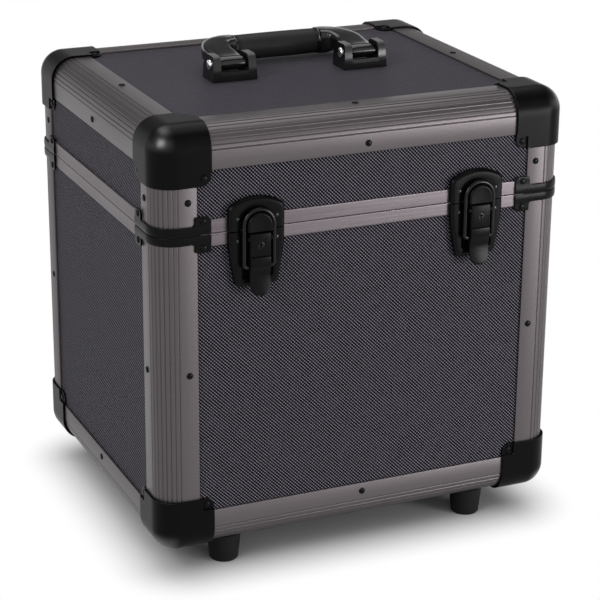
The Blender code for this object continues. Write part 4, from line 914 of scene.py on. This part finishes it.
def keeper_form(latch):
    """The lid's latch plate: an arched tray, and the D-shaped boss that the bail hooks over."""
    heading = np.linspace(0, np.pi, 97)
    foot = 0.5
    centre, rise = latch.keeper_height - latch.keeper_radius - foot, latch.boss_rise - foot

    def outline(inset):
        """Reach to the plate's edge, moved in."""
        arch = circle_reach(heading, latch.keeper_radius - inset, centre)
        return nearest([arch, *ray_to_sides(heading, (1, 0), latch.plate_width / 2 - inset)])

    def channel(grow):
        """Reach to the channel's edge, moved out."""
        return d_reach(heading, latch.channel / 2 + grow, rise)

    plate = tray(heading, plate_rows(outline, channel, latch), foot)
    front, edge, radius = latch.boss_front, latch.boss_edge, latch.boss_radius
    boss = [(radius, latch.plate_floor - 1.0)]
    boss += [(radius - edge * (1 - math.cos(turn)), front - edge * (1 - math.sin(turn)))
             for turn in np.radians(np.linspace(0, 90, 6))]
    boss.append((radius - edge - 0.8, front - 0.12))
    return plate + tray(heading, [(d_reach(heading, reach, rise), level) for reach, level in boss], foot)


def base_plate_form(latch):
    """The base's latch plate: a tapering tray with a channel, and the two ears of the pivot."""
    heading = np.linspace(-np.pi, 0, 129)
    half, height = latch.plate_width / 2, latch.base_height - 0.5
    slope = unit((latch.base_height - latch.base_straight, latch.base_foot / 2 - half))
    reach = slope[0] * half - slope[1] * latch.base_straight

    def outline(inset):
        """Reach to the plate's edge, moved in."""
        sides = ray_to_sides(heading, (1, 0), half - inset) + ray_to_sides(heading, slope, reach - inset)
        return nearest(sides + [ray_to_line(heading, (0, -1), height - inset)], 34)

    def channel(grow):
        """Reach to the channel's edge, moved out."""
        sides = ray_to_sides(heading, (1, 0), latch.channel / 2 + grow)
        return nearest(sides + [ray_to_line(heading, (0, -1), height - latch.channel_end + grow)], 20)

    forms = [tray(heading, plate_rows(outline, channel, latch), -0.5)]
    ear = np.vstack((((1.3, -3.5), ), arc((latch.pivot_level, 0), 2.3, -90, 90, 12), ((1.3, 3.5), )))
    inner = latch.lever_width / 2 + 0.3
    for side in (-1, 1):
        faces = [np.column_stack((np.full(len(ear), side * across), ear[:, ::-1] - (latch.pivot_drop, 0)))
                 for across in (inner, inner + 1.2)]
        forms.append(swept(np.stack(faces)))
    return together(forms)


def rounded_section(width, back, front, corner, steps=4):
    """A lever's section: a rectangle in u and n with rounded corners."""
    centres = ((1, front - corner), (-1, front - corner), (-1, back + corner), (1, back + corner))
    return np.vstack([arc((side * (width - corner), level), corner, 90 * turn, 90 * turn + 90, steps)
                      for turn, (side, level) in enumerate(centres)])


LEVER_STATIONS = (
    # below the split, in from each side, lift of the back, rise of the front, radius of the corners
    (0.95, 0.9, 2.2, -1.0, 0.5),
    (1.15, 0.4, 1.2, -0.5, 0.7),
    (1.6, 0.1, 0.4, -0.12, 0.9),
    (2.3, 0, 0, 0, 1),
    # the groove across it, and the cover of the lock
    (19.2, 0, 0, 0, 1),
    (19.75, 0, 0, -0.15, 1),
    (20.0, 0, 0, -0.5, 1),
    (20.05, 0, 0, -1.2, 1),
    (20.75, 0, 0, -1.2, 1),
    (20.8, 0, 0, 0.2, 1),
    (21.1, 0, 0, 0.58, 1),
    (21.6, 0, 0, 0.7, 1),
    (28.2, 0, 0, 0.7, 1),
    # the bend down to the tab
    (29.2, 0, 0, 0.4, 1),
    (30.3, 0, 0, -0.2, 1),
    (33.0, 0, 0, -0.9, 1),
    (34.5, 0, 2.0, -1.3, 0.8),
)
TAB_START, TAB_RUN, TAB_FRONT, TAB_FLARE, TAB_THICKNESS = 36, 16.6, 10.6, 2.6, 1.6


def lever_form(latch):
    """The lever over (station, turn): rounded sections from the seam at the boss, past the groove, round
    the bend and out along the tab to its round end. The tab flares by (share of its run)^1.6."""
    half = latch.lever_width / 2
    rows = [(drop, half - narrow, latch.lever_back + lift, latch.lever_front + rise, corner)
            for drop, narrow, lift, rise, corner in LEVER_STATIONS]
    round_start = latch.lever_length - half
    tab = [(drop, half) for drop in (TAB_START, 37.5, 39.5, 42.0, round_start)]
    tab += [(round_start + half * math.sin(turn), half * math.cos(turn))
            for turn in np.radians((15, 30, 45, 57, 68, 77, 84))]
    for drop, width in tab:
        front = TAB_FRONT + TAB_FLARE * ((drop - TAB_START) / TAB_RUN) ** 1.6
        rows.append((drop, width, front - TAB_THICKNESS, front, 0.6))
    sections = []
    for drop, width, back, front, corner in rows:
        outline = rounded_section(width, back, front, min(corner, width * 0.9, (front - back) * 0.45))
        sections.append(np.column_stack((outline[:, 0], np.full(len(outline), -drop), outline[:, 1])))
    return swept(np.stack(sections))


def tube(path, radius, sides=14):
    """A round wire: at each point of the path a circle across the path's direction."""
    along = np.gradient(path, axis=0)
    along /= np.linalg.norm(along, axis=1)[:, None]
    side = np.cross(along, (0.0, 0.0, 1.0))
    side /= np.linalg.norm(side, axis=1)[:, None]
    lift = np.cross(side, along)
    turn = np.linspace(0, 2 * np.pi, sides, endpoint=False)[None, :, None]
    return swept(path[:, None] + radius * (np.cos(turn) * side[:, None] + np.sin(turn) * lift[:, None]))


def bail_form(latch):
    """The wire bail: an arch over the boss, two straight legs and stubs that turn in to the lever."""
    radius, bend, drop = latch.bail_radius, 2.2, latch.bail_drop
    corner = arc((radius - bend, bend - drop), bend, 0, -90, 8)
    leg = np.column_stack((np.full(8, radius), np.linspace(latch.boss_rise, bend - drop, 8)))[1:-1]
    right = np.vstack((leg, corner, ((latch.lever_width / 2 - 2.8, -drop), )))
    arch = arc((0, latch.boss_rise), radius, 180, 0, 40)
    outline = np.vstack((right[::-1] * (-1, 1), arch, right))
    return tube(np.column_stack((outline, np.full(len(outline), latch.bail_level))), latch.bail_wire)


def plug_form(latch):
    """The lock's turning core: a disc with a ring groove and a rounded rim, turned about its axis."""
    front, radius, deep = latch.lever_front + 0.2, latch.lock_radius, latch.lever_back
    profile = ((0, deep), (radius, deep), (radius, front - 0.3), (radius - 0.1, front - 0.08),
               (radius - 0.35, front), (radius - 0.7, front), (radius - 0.8, front - 0.25),
               (radius - 1.0, front - 0.25), (radius - 1.1, front), (0, front))
    return turned(profile, (0, -latch.lock_drop, 0), (0, 0, 1), 40)


def keyway(latch):
    """What is cut out of the lock's core: a round hole and a blade's slot below it."""
    hole = rod(0.95, -2, 3, (0, -latch.lock_drop + 1.1, latch.lever_front), (0, 0, 1), 16)
    blade = np.array(((-0.5, -2.3), (0.5, -2.3), (0.5, 0.9), (-0.5, 0.9))) - (0, latch.lock_drop)
    ends = [np.column_stack((blade, np.full(4, latch.lever_front + level))) for level in (-2, 3)]
    return [hole, swept(np.stack(ends))]


def make_latch(case, latch, side):
    """Builds a latch: keeper, base plate, lever, bail, lock core, screws and pins."""
    where = on_front(case, latch, side)
    name = f"latch_{side}"
    across, forward = np.eye(3)[0], np.eye(3)[2]
    lock = (0, -latch.lock_drop, latch.lever_front)
    pivot = (0, -latch.pivot_drop, latch.pivot_level)
    bail = (0, -latch.bail_drop, latch.bail_level)

    def fit(piece, form, look, body, part=None, sharp=SHARP):
        """Builds a piece of this latch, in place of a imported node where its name's end is given."""
        replaces = (f"{name}_{part}",) if part else ()
        return build(f"{name}_{piece}", form.placed(*where), material(look), body, replaces, sharp)

    fit("keeper_tray", keeper_form(latch), "latch", "lid", "keeper", sharp=40)
    fit("base_tray", base_plate_form(latch), "latch", "base", "plate", sharp=40)
    lever = fit("pull", lever_form(latch), "latch", f"lever_{side}", "lever", sharp=40)
    wide = latch.plate_width
    bores = (rod(latch.lock_radius + 0.25, -9, 5, lock, forward, 40),
             rod(1.5, -wide, wide, pivot, across), rod(2.0, -wide, wide, bail, across, 24))
    cut(lever, [bore.placed(*where) for bore in bores])
    fit("wire", bail_form(latch), "wire", f"bail_{side}", "bail")
    core = fit("lock_core", plug_form(latch), "lock", f"plug_{side}", "lock_plug")
    cut(core, [form.placed(*where) for form in keyway(latch)])
    half_pin = latch.lever_width / 2 + 1.7
    pivot_pin = rod(1.2, -half_pin, half_pin, pivot, across)
    for body, plate, rise, pins in (("lid", "keeper", 10.3, []), ("base", "plate", -7.6, [pivot_pin])):
        heads = [turned(head_profile(1.6, 0.7), (u, rise, latch.plate_front), forward, 20)
                 for u in (-16.5, 16.5)]
        fit(f"{plate}_screws", together(heads + pins), "handle", body)
    reach = latch.bail_radius + latch.bail_wire - 0.15
    heads = [turned(head_profile(1.25, 0.6), (sign * reach, -latch.bail_drop + 2.2, latch.bail_level),
                    (sign, 0, 0), 16) for sign in (-1, 1)]
    fit("bail_pins", together(heads), "latch", f"bail_{side}")


BRACKET_SIDE = ((0, 0), (0.0, 0.2), (0.01, 0.40), (0.04, 0.72), (0.10, 0.94), (0.17, 1.0), (0.45, 1.0),
                (0.74, 1.0), (0.82, 0.93), (0.93, 0.72), (1.0, 0.5), (1.0, 0.14), (1.0, 0))


def bracket_form(case, handle, side):
    """A handle bracket over (station across, point of the side view): two cheeks with a rounded side
    view, in shares of its depth and height, and between them a floor with a low bar across its front."""
    depth, height = handle.bracket_depth, handle.bracket_height
    cheek = np.array(BRACKET_SIDE) * (depth, height)
    top, back, floor = handle.bar_height, handle.bar_depth, 3.0
    low = np.array(((0, 0), (0, 0.2 * height), (0.15, 0.7 * top), (0.35, top), (0.5 * back, top),
                    (back, top), (back, 0.5 * (top + floor)), (back + 0.01, floor), (8, floor),
                    (14, floor), (depth - 0.01, floor), (depth, 0.14 * height), (depth, 0)))
    half, top_half, notch = handle.bracket_width / 2, handle.bracket_top / 2, handle.notch / 2
    stations = ((-1, cheek), (-notch, cheek), (-notch, low), (notch, low), (notch, cheek), (1, cheek))
    sections = []
    for across, outline in stations:
        taper = half + (top_half - half) * outline[:, 1] / height
        x = across * taper if abs(across) == 1 else np.full(len(outline), across)
        sections.append(np.column_stack((x, outline)))
    origin = (SIDES[side] * handle.spacing / 2, -handle.bracket_front, case.height - 1.5)
    return swept(np.stack(sections)).placed(origin, np.eye(3))


ARM_STATIONS = (
    # shares of the way along and back to the grip and of the rise, heading in degrees, and half the
    # width and half the thickness as shares of the grip's radius
    (0.00, 0.00, 0.00, 0, 1.09, 0.545),
    (0.00, 0.16, 0.40, 0, 1.09, 0.51),
    (0.00, 0.33, 0.85, 0, 1.09, 0.52),
    (-0.02, 0.62, 1.00, 12, 1.14, 0.66),
    (0.20, 0.88, 0.90, 45, 1.16, 0.80),
    (0.62, 0.98, 0.50, 76, 1.08, 0.94),
    (1.00, 1.00, 0.30, 90, 0.97, 0.97),
)


def arm_form(case, handle, side, points=40):
    """A handle arm over (station, turn): the root is round about the pin, and from there squarish ovals
    follow a smooth path that sweeps in to the grip. An oval's point is (|cos|^0.45, |sin|^0.45) with
    signs."""
    start, end, radius = handle.spacing / 2, handle.grip_length / 2, handle.grip_radius
    turn = (np.arange(points) + 0.5) * 2 * np.pi / points
    across, up = [np.sign(wave) * np.abs(wave) ** 0.45 for wave in (np.cos(turn), np.sin(turn))]
    sections = []
    for swing in np.radians((8, 22, 38, 55, 72)):
        half_x, half_z = ARM_STATIONS[0][4] * radius, handle.barrel * math.sin(swing)
        rounding = 0.6 * (1 - min(1.0, half_z / 1.2))
        sections.append(np.column_stack((start + across * (half_x - rounding),
                                         np.full(points, -handle.barrel * math.cos(swing)), up * half_z)))
    for along, back, rise, heading, width, thickness in catmull_rom(ARM_STATIONS, 8):
        middle = np.array((start + (end - start) * along, handle.swing * back, handle.rise * rise))
        sideways = np.array((math.cos(math.radians(heading)), math.sin(math.radians(heading)), 0.0))
        sections.append(middle + radius * (width * across[:, None] * sideways
                                           + thickness * up[:, None] * np.array((0.0, 0.0, 1.0))))
    grid = np.stack(sections)
    grid[..., 0] *= SIDES[side]
    return swept(grid).placed((0, -handle.axis_back, case.height + handle.axis_rise), np.eye(3))


# Rows of the grip's end collars and of its sleeve's ends: in from the grip's radius, and in from its end.
GRIP_COLLAR = ((1.2, 3), (1.2, 1.8), (0.2, 1.8), (-0.05, 1.5), (-0.05, 0.4), (0.3, 0))
SLEEVE_END = ((1.3, 2.6), (1.3, 3.1), (0.4, 3.2), (0.2, 3.5), (0.2, 4.0), (0.6, 4.15), (0.6, 4.4))


def make_handle(case, handle):
    """Builds the handle: brackets, bright pins, arms with their collars, and the grip."""
    axis_z = case.height + handle.axis_rise
    for side, sign in SIDES.items():
        build(f"handle_bracket_{side}_block", bracket_form(case, handle, side), material("handle"), "lid",
              (f"handle_bracket_{side}",), sharp=30, bevel=0.7)
        middle = sign * handle.spacing / 2
        reach = handle.bracket_width / 2 - 0.4
        pins = [turned(head_profile(4.2, 1.5, root=1.5), (middle + end * reach, -handle.axis_back, axis_z),
                       (end, 0, 0), 32) for end in (-1, 1)]
        half_pin = handle.notch / 2 + 1
        pins.append(rod(2, -half_pin, half_pin, (middle, -handle.axis_back, axis_z), (1, 0, 0)))
        build(f"handle_pins_{side}", together(pins), material("bright"), "lid")
    grip_place = np.array((0, handle.swing - handle.axis_back, axis_z + ARM_STATIONS[-1][2] * handle.rise))
    radius, half = handle.grip_radius, handle.grip_length / 2
    collar = np.array([(0, half - 3), *((radius - inward, half - back) for inward, back in GRIP_COLLAR),
                       (0, half)])
    arms = [arm_form(case, handle, side) for side in SIDES]
    arms += [turned(collar, grip_place, (sign, 0, 0), 48) for sign in (-1, 1)]
    build("handle_arms", together(arms), material("handle"), "handle", ("handle_frame",),
          sharp=32)
    along = np.linspace(-1, 1, 25)
    crown = 0.25 * (1 - along ** 2)
    end = np.array([(radius - inward, half - back) for inward, back in SLEEVE_END])
    profile = np.vstack(((0, -end[0, 1]), end * (1, -1),
                         np.column_stack((radius - 0.25 + crown, along * (half - 4.6))),
                         end[::-1], (0, end[0, 1])))
    build("handle_grip_sleeve", turned(profile, grip_place, (1, 0, 0), 56), material("grip"), "handle",
          ("handle_grip",))


# The camera that was fitted to the photograph, in metres and in mm of lens and sensor.
CAMERA_PLACE = (-0.68528, -1.56288, 0.79920)
CAMERA_RIGHT = (0.915344, -0.402603, 0.007472)
CAMERA_LOOK = (0.380323, 0.858295, -0.344506)
CAMERA_LENS, CAMERA_SENSOR = 123.14, 36.0
# Every lamp's name, place, width and height in metres, and power in watts. They look at the target.
LAMPS = (("right_panel", (0.85, -1.15, 0.27), 0.45, 0.5, 12),
         ("left_panel", (-1.5, -0.8, 1.3), 0.9, 0.9, 23),
         ("top_panel", (0.1, 0.5, 1.9), 1.8, 1.8, 24))
LAMP_TARGET = (0, 0, 0.2)
FLOOR_REACH = 6.0
# How far inside the footprint's edge the floor starts to turn white, in mm, and over how many metres.
# Within this band the floor's own grey shows, a painted shadow round the footprint on top of the cast one.
SHADOW_INSET, SHADOW_FADE = 35, 0.075
# The surroundings are white up to one level and grey above another. In front, levels count as lower.
WHITE_LEVEL, GREY_LEVEL, FRONT_LEAN = 0.12, 0.32, 0.85
WHITE, GREY = (1, 1, 1), (0.16, 0.16, 0.16)


def staged(context, name, data):
    """An object of the stage, linked to the scene."""
    thing = bpy.data.objects.new(name, data)
    context.scene.collection.objects.link(thing)
    return thing


def make_floor(context):
    """Lays a floor that turns to plain white as the distance from the case's footprint grows. Only the
    camera, mirrors and glass see the white, so the floor keeps the shadow and adds no light. Near the
    footprint the floor's dark grey shows, so it is darker there by painted shadow as well as by the cast
    one."""
    case = sizes(context)[0]
    floor = Finish("studio_floor")
    rays = floor.add("ShaderNodeLightPath").outputs
    seen, shiny, clear = [Field(floor, rays[f"Is {kind} Ray"])
                          for kind in ("Camera", "Glossy", "Transmission")]
    direct = (seen + shiny + clear).maths("MINIMUM", 1.0)
    # Painted shadow: by distance from the footprint, the dark grey paper fades to white.
    past_x = floor.x.past((case.width / 2 - SHADOW_INSET) * MM)
    past_y = floor.y.past((case.depth / 2 - SHADOW_INSET) * MM)
    fade = (past_x * past_x + past_y * past_y).maths("SQRT").between(0.0, SHADOW_FADE)
    tint = context.scene.case_finishes.floor
    base = floor.mixed(floor.noise(60, 2), shade(tint, 0.99), shade(tint, 1.01))
    paper = floor.add("ShaderNodeBsdfDiffuse", {}, {"Color": base})
    glow = floor.add("ShaderNodeEmission", {}, {"Color": (1, 1, 1, 1), "Strength": 1.0})
    mix = floor.add("ShaderNodeMixShader", {}, {0: fade * direct, 1: paper.outputs[0], 2: glow.outputs[0]})
    floor.add("ShaderNodeOutputMaterial", {}, {"Surface": mix.outputs[0]})
    mesh = bpy.data.meshes.new("studio_floor")
    corners = [(x * FLOOR_REACH, y * FLOOR_REACH, 0) for x, y in CORNERS.values()]
    mesh.from_pydata(corners, [], [(0, 1, 2, 3)])
    mesh.materials.append(floor.material)
    staged(context, "studio_floor", mesh)


def make_world(context):
    """Surrounds the case with white near the horizon and grey overhead. The level of a direction is
    z + lean * min(y, 0), so in front the white reaches higher."""
    world = bpy.data.worlds.new("studio")
    context.scene.world = world
    world.use_nodes = True
    nodes = Nodes(world.node_tree, "Generated")
    level = nodes.y.maths("MINIMUM", 0.0).maths("MULTIPLY_ADD", FRONT_LEAN, nodes.z)
    blend = nodes.mixed(level.between(WHITE_LEVEL, GREY_LEVEL), WHITE, GREY)
    backdrop = nodes.add("ShaderNodeBackground", {}, {"Color": blend})
    nodes.add("ShaderNodeOutputWorld", {}, {"Surface": backdrop.outputs[0]})


def make_lamps(context):
    """Hangs the soft lamps, each with its own -Z turned to the target."""
    for name, place, width, height, power in LAMPS:
        lamp = bpy.data.lights.new(name, "AREA")
        lamp.shape = "RECTANGLE"
        lamp.size, lamp.size_y, lamp.energy = width, height, power
        holder = staged(context, name, lamp)
        holder.location = place
        back = unit(np.array(place) - LAMP_TARGET)
        side = unit(np.cross((0, 0, 1), back))
        turn = Matrix((tuple(side), tuple(np.cross(back, side)), tuple(back))).transposed()
        holder.rotation_euler = turn.to_euler()
        holder.visible_camera = False


def make_camera(context):
    """Sets up the photograph's camera."""
    camera = bpy.data.cameras.new("camera")
    camera.sensor_width, camera.lens = CAMERA_SENSOR, CAMERA_LENS
    holder = staged(context, "camera", camera)
    right, look = unit(CAMERA_RIGHT), unit(CAMERA_LOOK)
    up = unit(np.cross(right, look))
    turn = Matrix((tuple(right), tuple(up), tuple(-look))).transposed().to_4x4()
    holder.matrix_world = Matrix.Translation(CAMERA_PLACE) @ turn
    context.scene.camera = holder
    context.scene.view_settings.view_transform = "Standard"


class CARRYCASE_OT_boards(bpy.types.Operator):
    """Finish the ten boards with their embossed laminate and the linings with foam"""
    bl_idname = "carrycase.boards"
    bl_label = "Boards and linings"

    def execute(self, context):
        for body, end in (("base", "bottom"), ("lid", "top")):
            for face in ("front", "back"):
                refinish(f"{body}_board_{face}", material("board_front"))
            for face in ("left", "right"):
                refinish(f"{body}_board_{face}", material("board_side"))
            refinish(f"{body}_board_{end}", material("board_flat"))
            refinish(f"{body}_lining", material("foam"))
        return {"FINISHED"}


class CARRYCASE_OT_angles(bpy.types.Operator):
    """Build the grooved posts and rails"""
    bl_idname = "carrycase.angles"
    bl_label = "Posts and rails"

    def execute(self, context):
        make_angles(sizes(context)[0])
        return {"FINISHED"}


class CARRYCASE_OT_rivets(bpy.types.Operator):
    """Set the black rivets of the trim"""
    bl_idname = "carrycase.rivets"
    bl_label = "Rivets"

    def execute(self, context):
        make_rivets(*sizes(context)[:2])
        return {"FINISHED"}


class CARRYCASE_OT_rims(bpy.types.Operator):
    """Build the bright strips at the split, with the collars round them"""
    bl_idname = "carrycase.rims"
    bl_label = "Rims and collars"

    def execute(self, context):
        case, corner = sizes(context)[:2]
        make_rims(case)
        make_collars(case, corner)
        return {"FINISHED"}


class CARRYCASE_OT_caps(bpy.types.Operator):
    """Build the moulded corner caps"""
    bl_idname = "carrycase.caps"
    bl_label = "Corner caps"

    def execute(self, context):
        make_caps(*sizes(context)[:2])
        return {"FINISHED"}


class CARRYCASE_OT_feet(bpy.types.Operator):
    """Turn the rubber feet"""
    bl_idname = "carrycase.feet"
    bl_label = "Feet"

    def execute(self, context):
        make_feet(*sizes(context)[:2])
        return {"FINISHED"}


class CARRYCASE_OT_hinges(bpy.types.Operator):
    """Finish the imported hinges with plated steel"""
    bl_idname = "carrycase.hinges"
    bl_label = "Hinges"

    def execute(self, context):
        for side in SIDES:
            for body in ("base", "lid"):
                refinish(f"hinge_{side}_{body}_leaf", material("hinge"))
        return {"FINISHED"}


class CARRYCASE_OT_latches(bpy.types.Operator):
    """Build both latches with their levers, bails and locks"""
    bl_idname = "carrycase.latches"
    bl_label = "Latches"

    def execute(self, context):
        case, _, latch, _ = sizes(context)
        for side in SIDES:
            make_latch(case, latch, side)
        return {"FINISHED"}


class CARRYCASE_OT_handle(bpy.types.Operator):
    """Build the folding handle and its brackets"""
    bl_idname = "carrycase.handle"
    bl_label = "Handle"

    def execute(self, context):
        case, _, _, handle = sizes(context)
        make_handle(case, handle)
        return {"FINISHED"}


class CARRYCASE_OT_stage(bpy.types.Operator):
    """Lay the floor, the lamps and the camera"""
    bl_idname = "carrycase.stage"
    bl_label = "Stage"

    def execute(self, context):
        make_floor(context)
        make_world(context)
        make_lamps(context)
        make_camera(context)
        return {"FINISHED"}


OPERATORS = (CARRYCASE_OT_boards, CARRYCASE_OT_angles, CARRYCASE_OT_rivets, CARRYCASE_OT_rims,
             CARRYCASE_OT_caps, CARRYCASE_OT_feet, CARRYCASE_OT_hinges, CARRYCASE_OT_latches,
             CARRYCASE_OT_handle, CARRYCASE_OT_stage)
GROUPS = {"case_sizes": CaseSizes, "corner_sizes": CornerSizes, "latch_sizes": LatchSizes,
          "handle_sizes": HandleSizes, "case_finishes": Finishes}


class CARRYCASE_PT_sidebar(bpy.types.Panel):
    """Lists the sizes, colours and operators of the case"""
    bl_label = "Carrying case"
    bl_space_type = "VIEW_3D"
    bl_region_type = "UI"
    bl_category = "Carrying case"

    def draw(self, context):
        for group_name in GROUPS:
            group = getattr(context.scene, group_name)
            column = self.layout.column(heading=group_name.replace("_", " "))
            for key in own_keys(group):
                column.prop(group, key)
        for operator in OPERATORS:
            self.layout.operator(operator.bl_idname)


def register():
    """Registers the sizes, operators and panel."""
    for group_name, group in GROUPS.items():
        bpy.utils.register_class(group)
        setattr(bpy.types.Scene, group_name, bpy.props.PointerProperty(type=group))
    for shown in (*OPERATORS, CARRYCASE_PT_sidebar):
        bpy.utils.register_class(shown)


def unregister():
    """Takes away what register added."""
    for shown in (CARRYCASE_PT_sidebar, *reversed(OPERATORS)):
        bpy.utils.unregister_class(shown)
    for group_name, group in GROUPS.items():
        delattr(bpy.types.Scene, group_name)
        bpy.utils.unregister_class(group)


def main():
    register()
    for operator in OPERATORS:
        group, action = operator.bl_idname.split(".")
        getattr(getattr(bpy.ops, group), action)()
    bpy.context.view_layer.update()


if __name__ == "__main__":
    main()
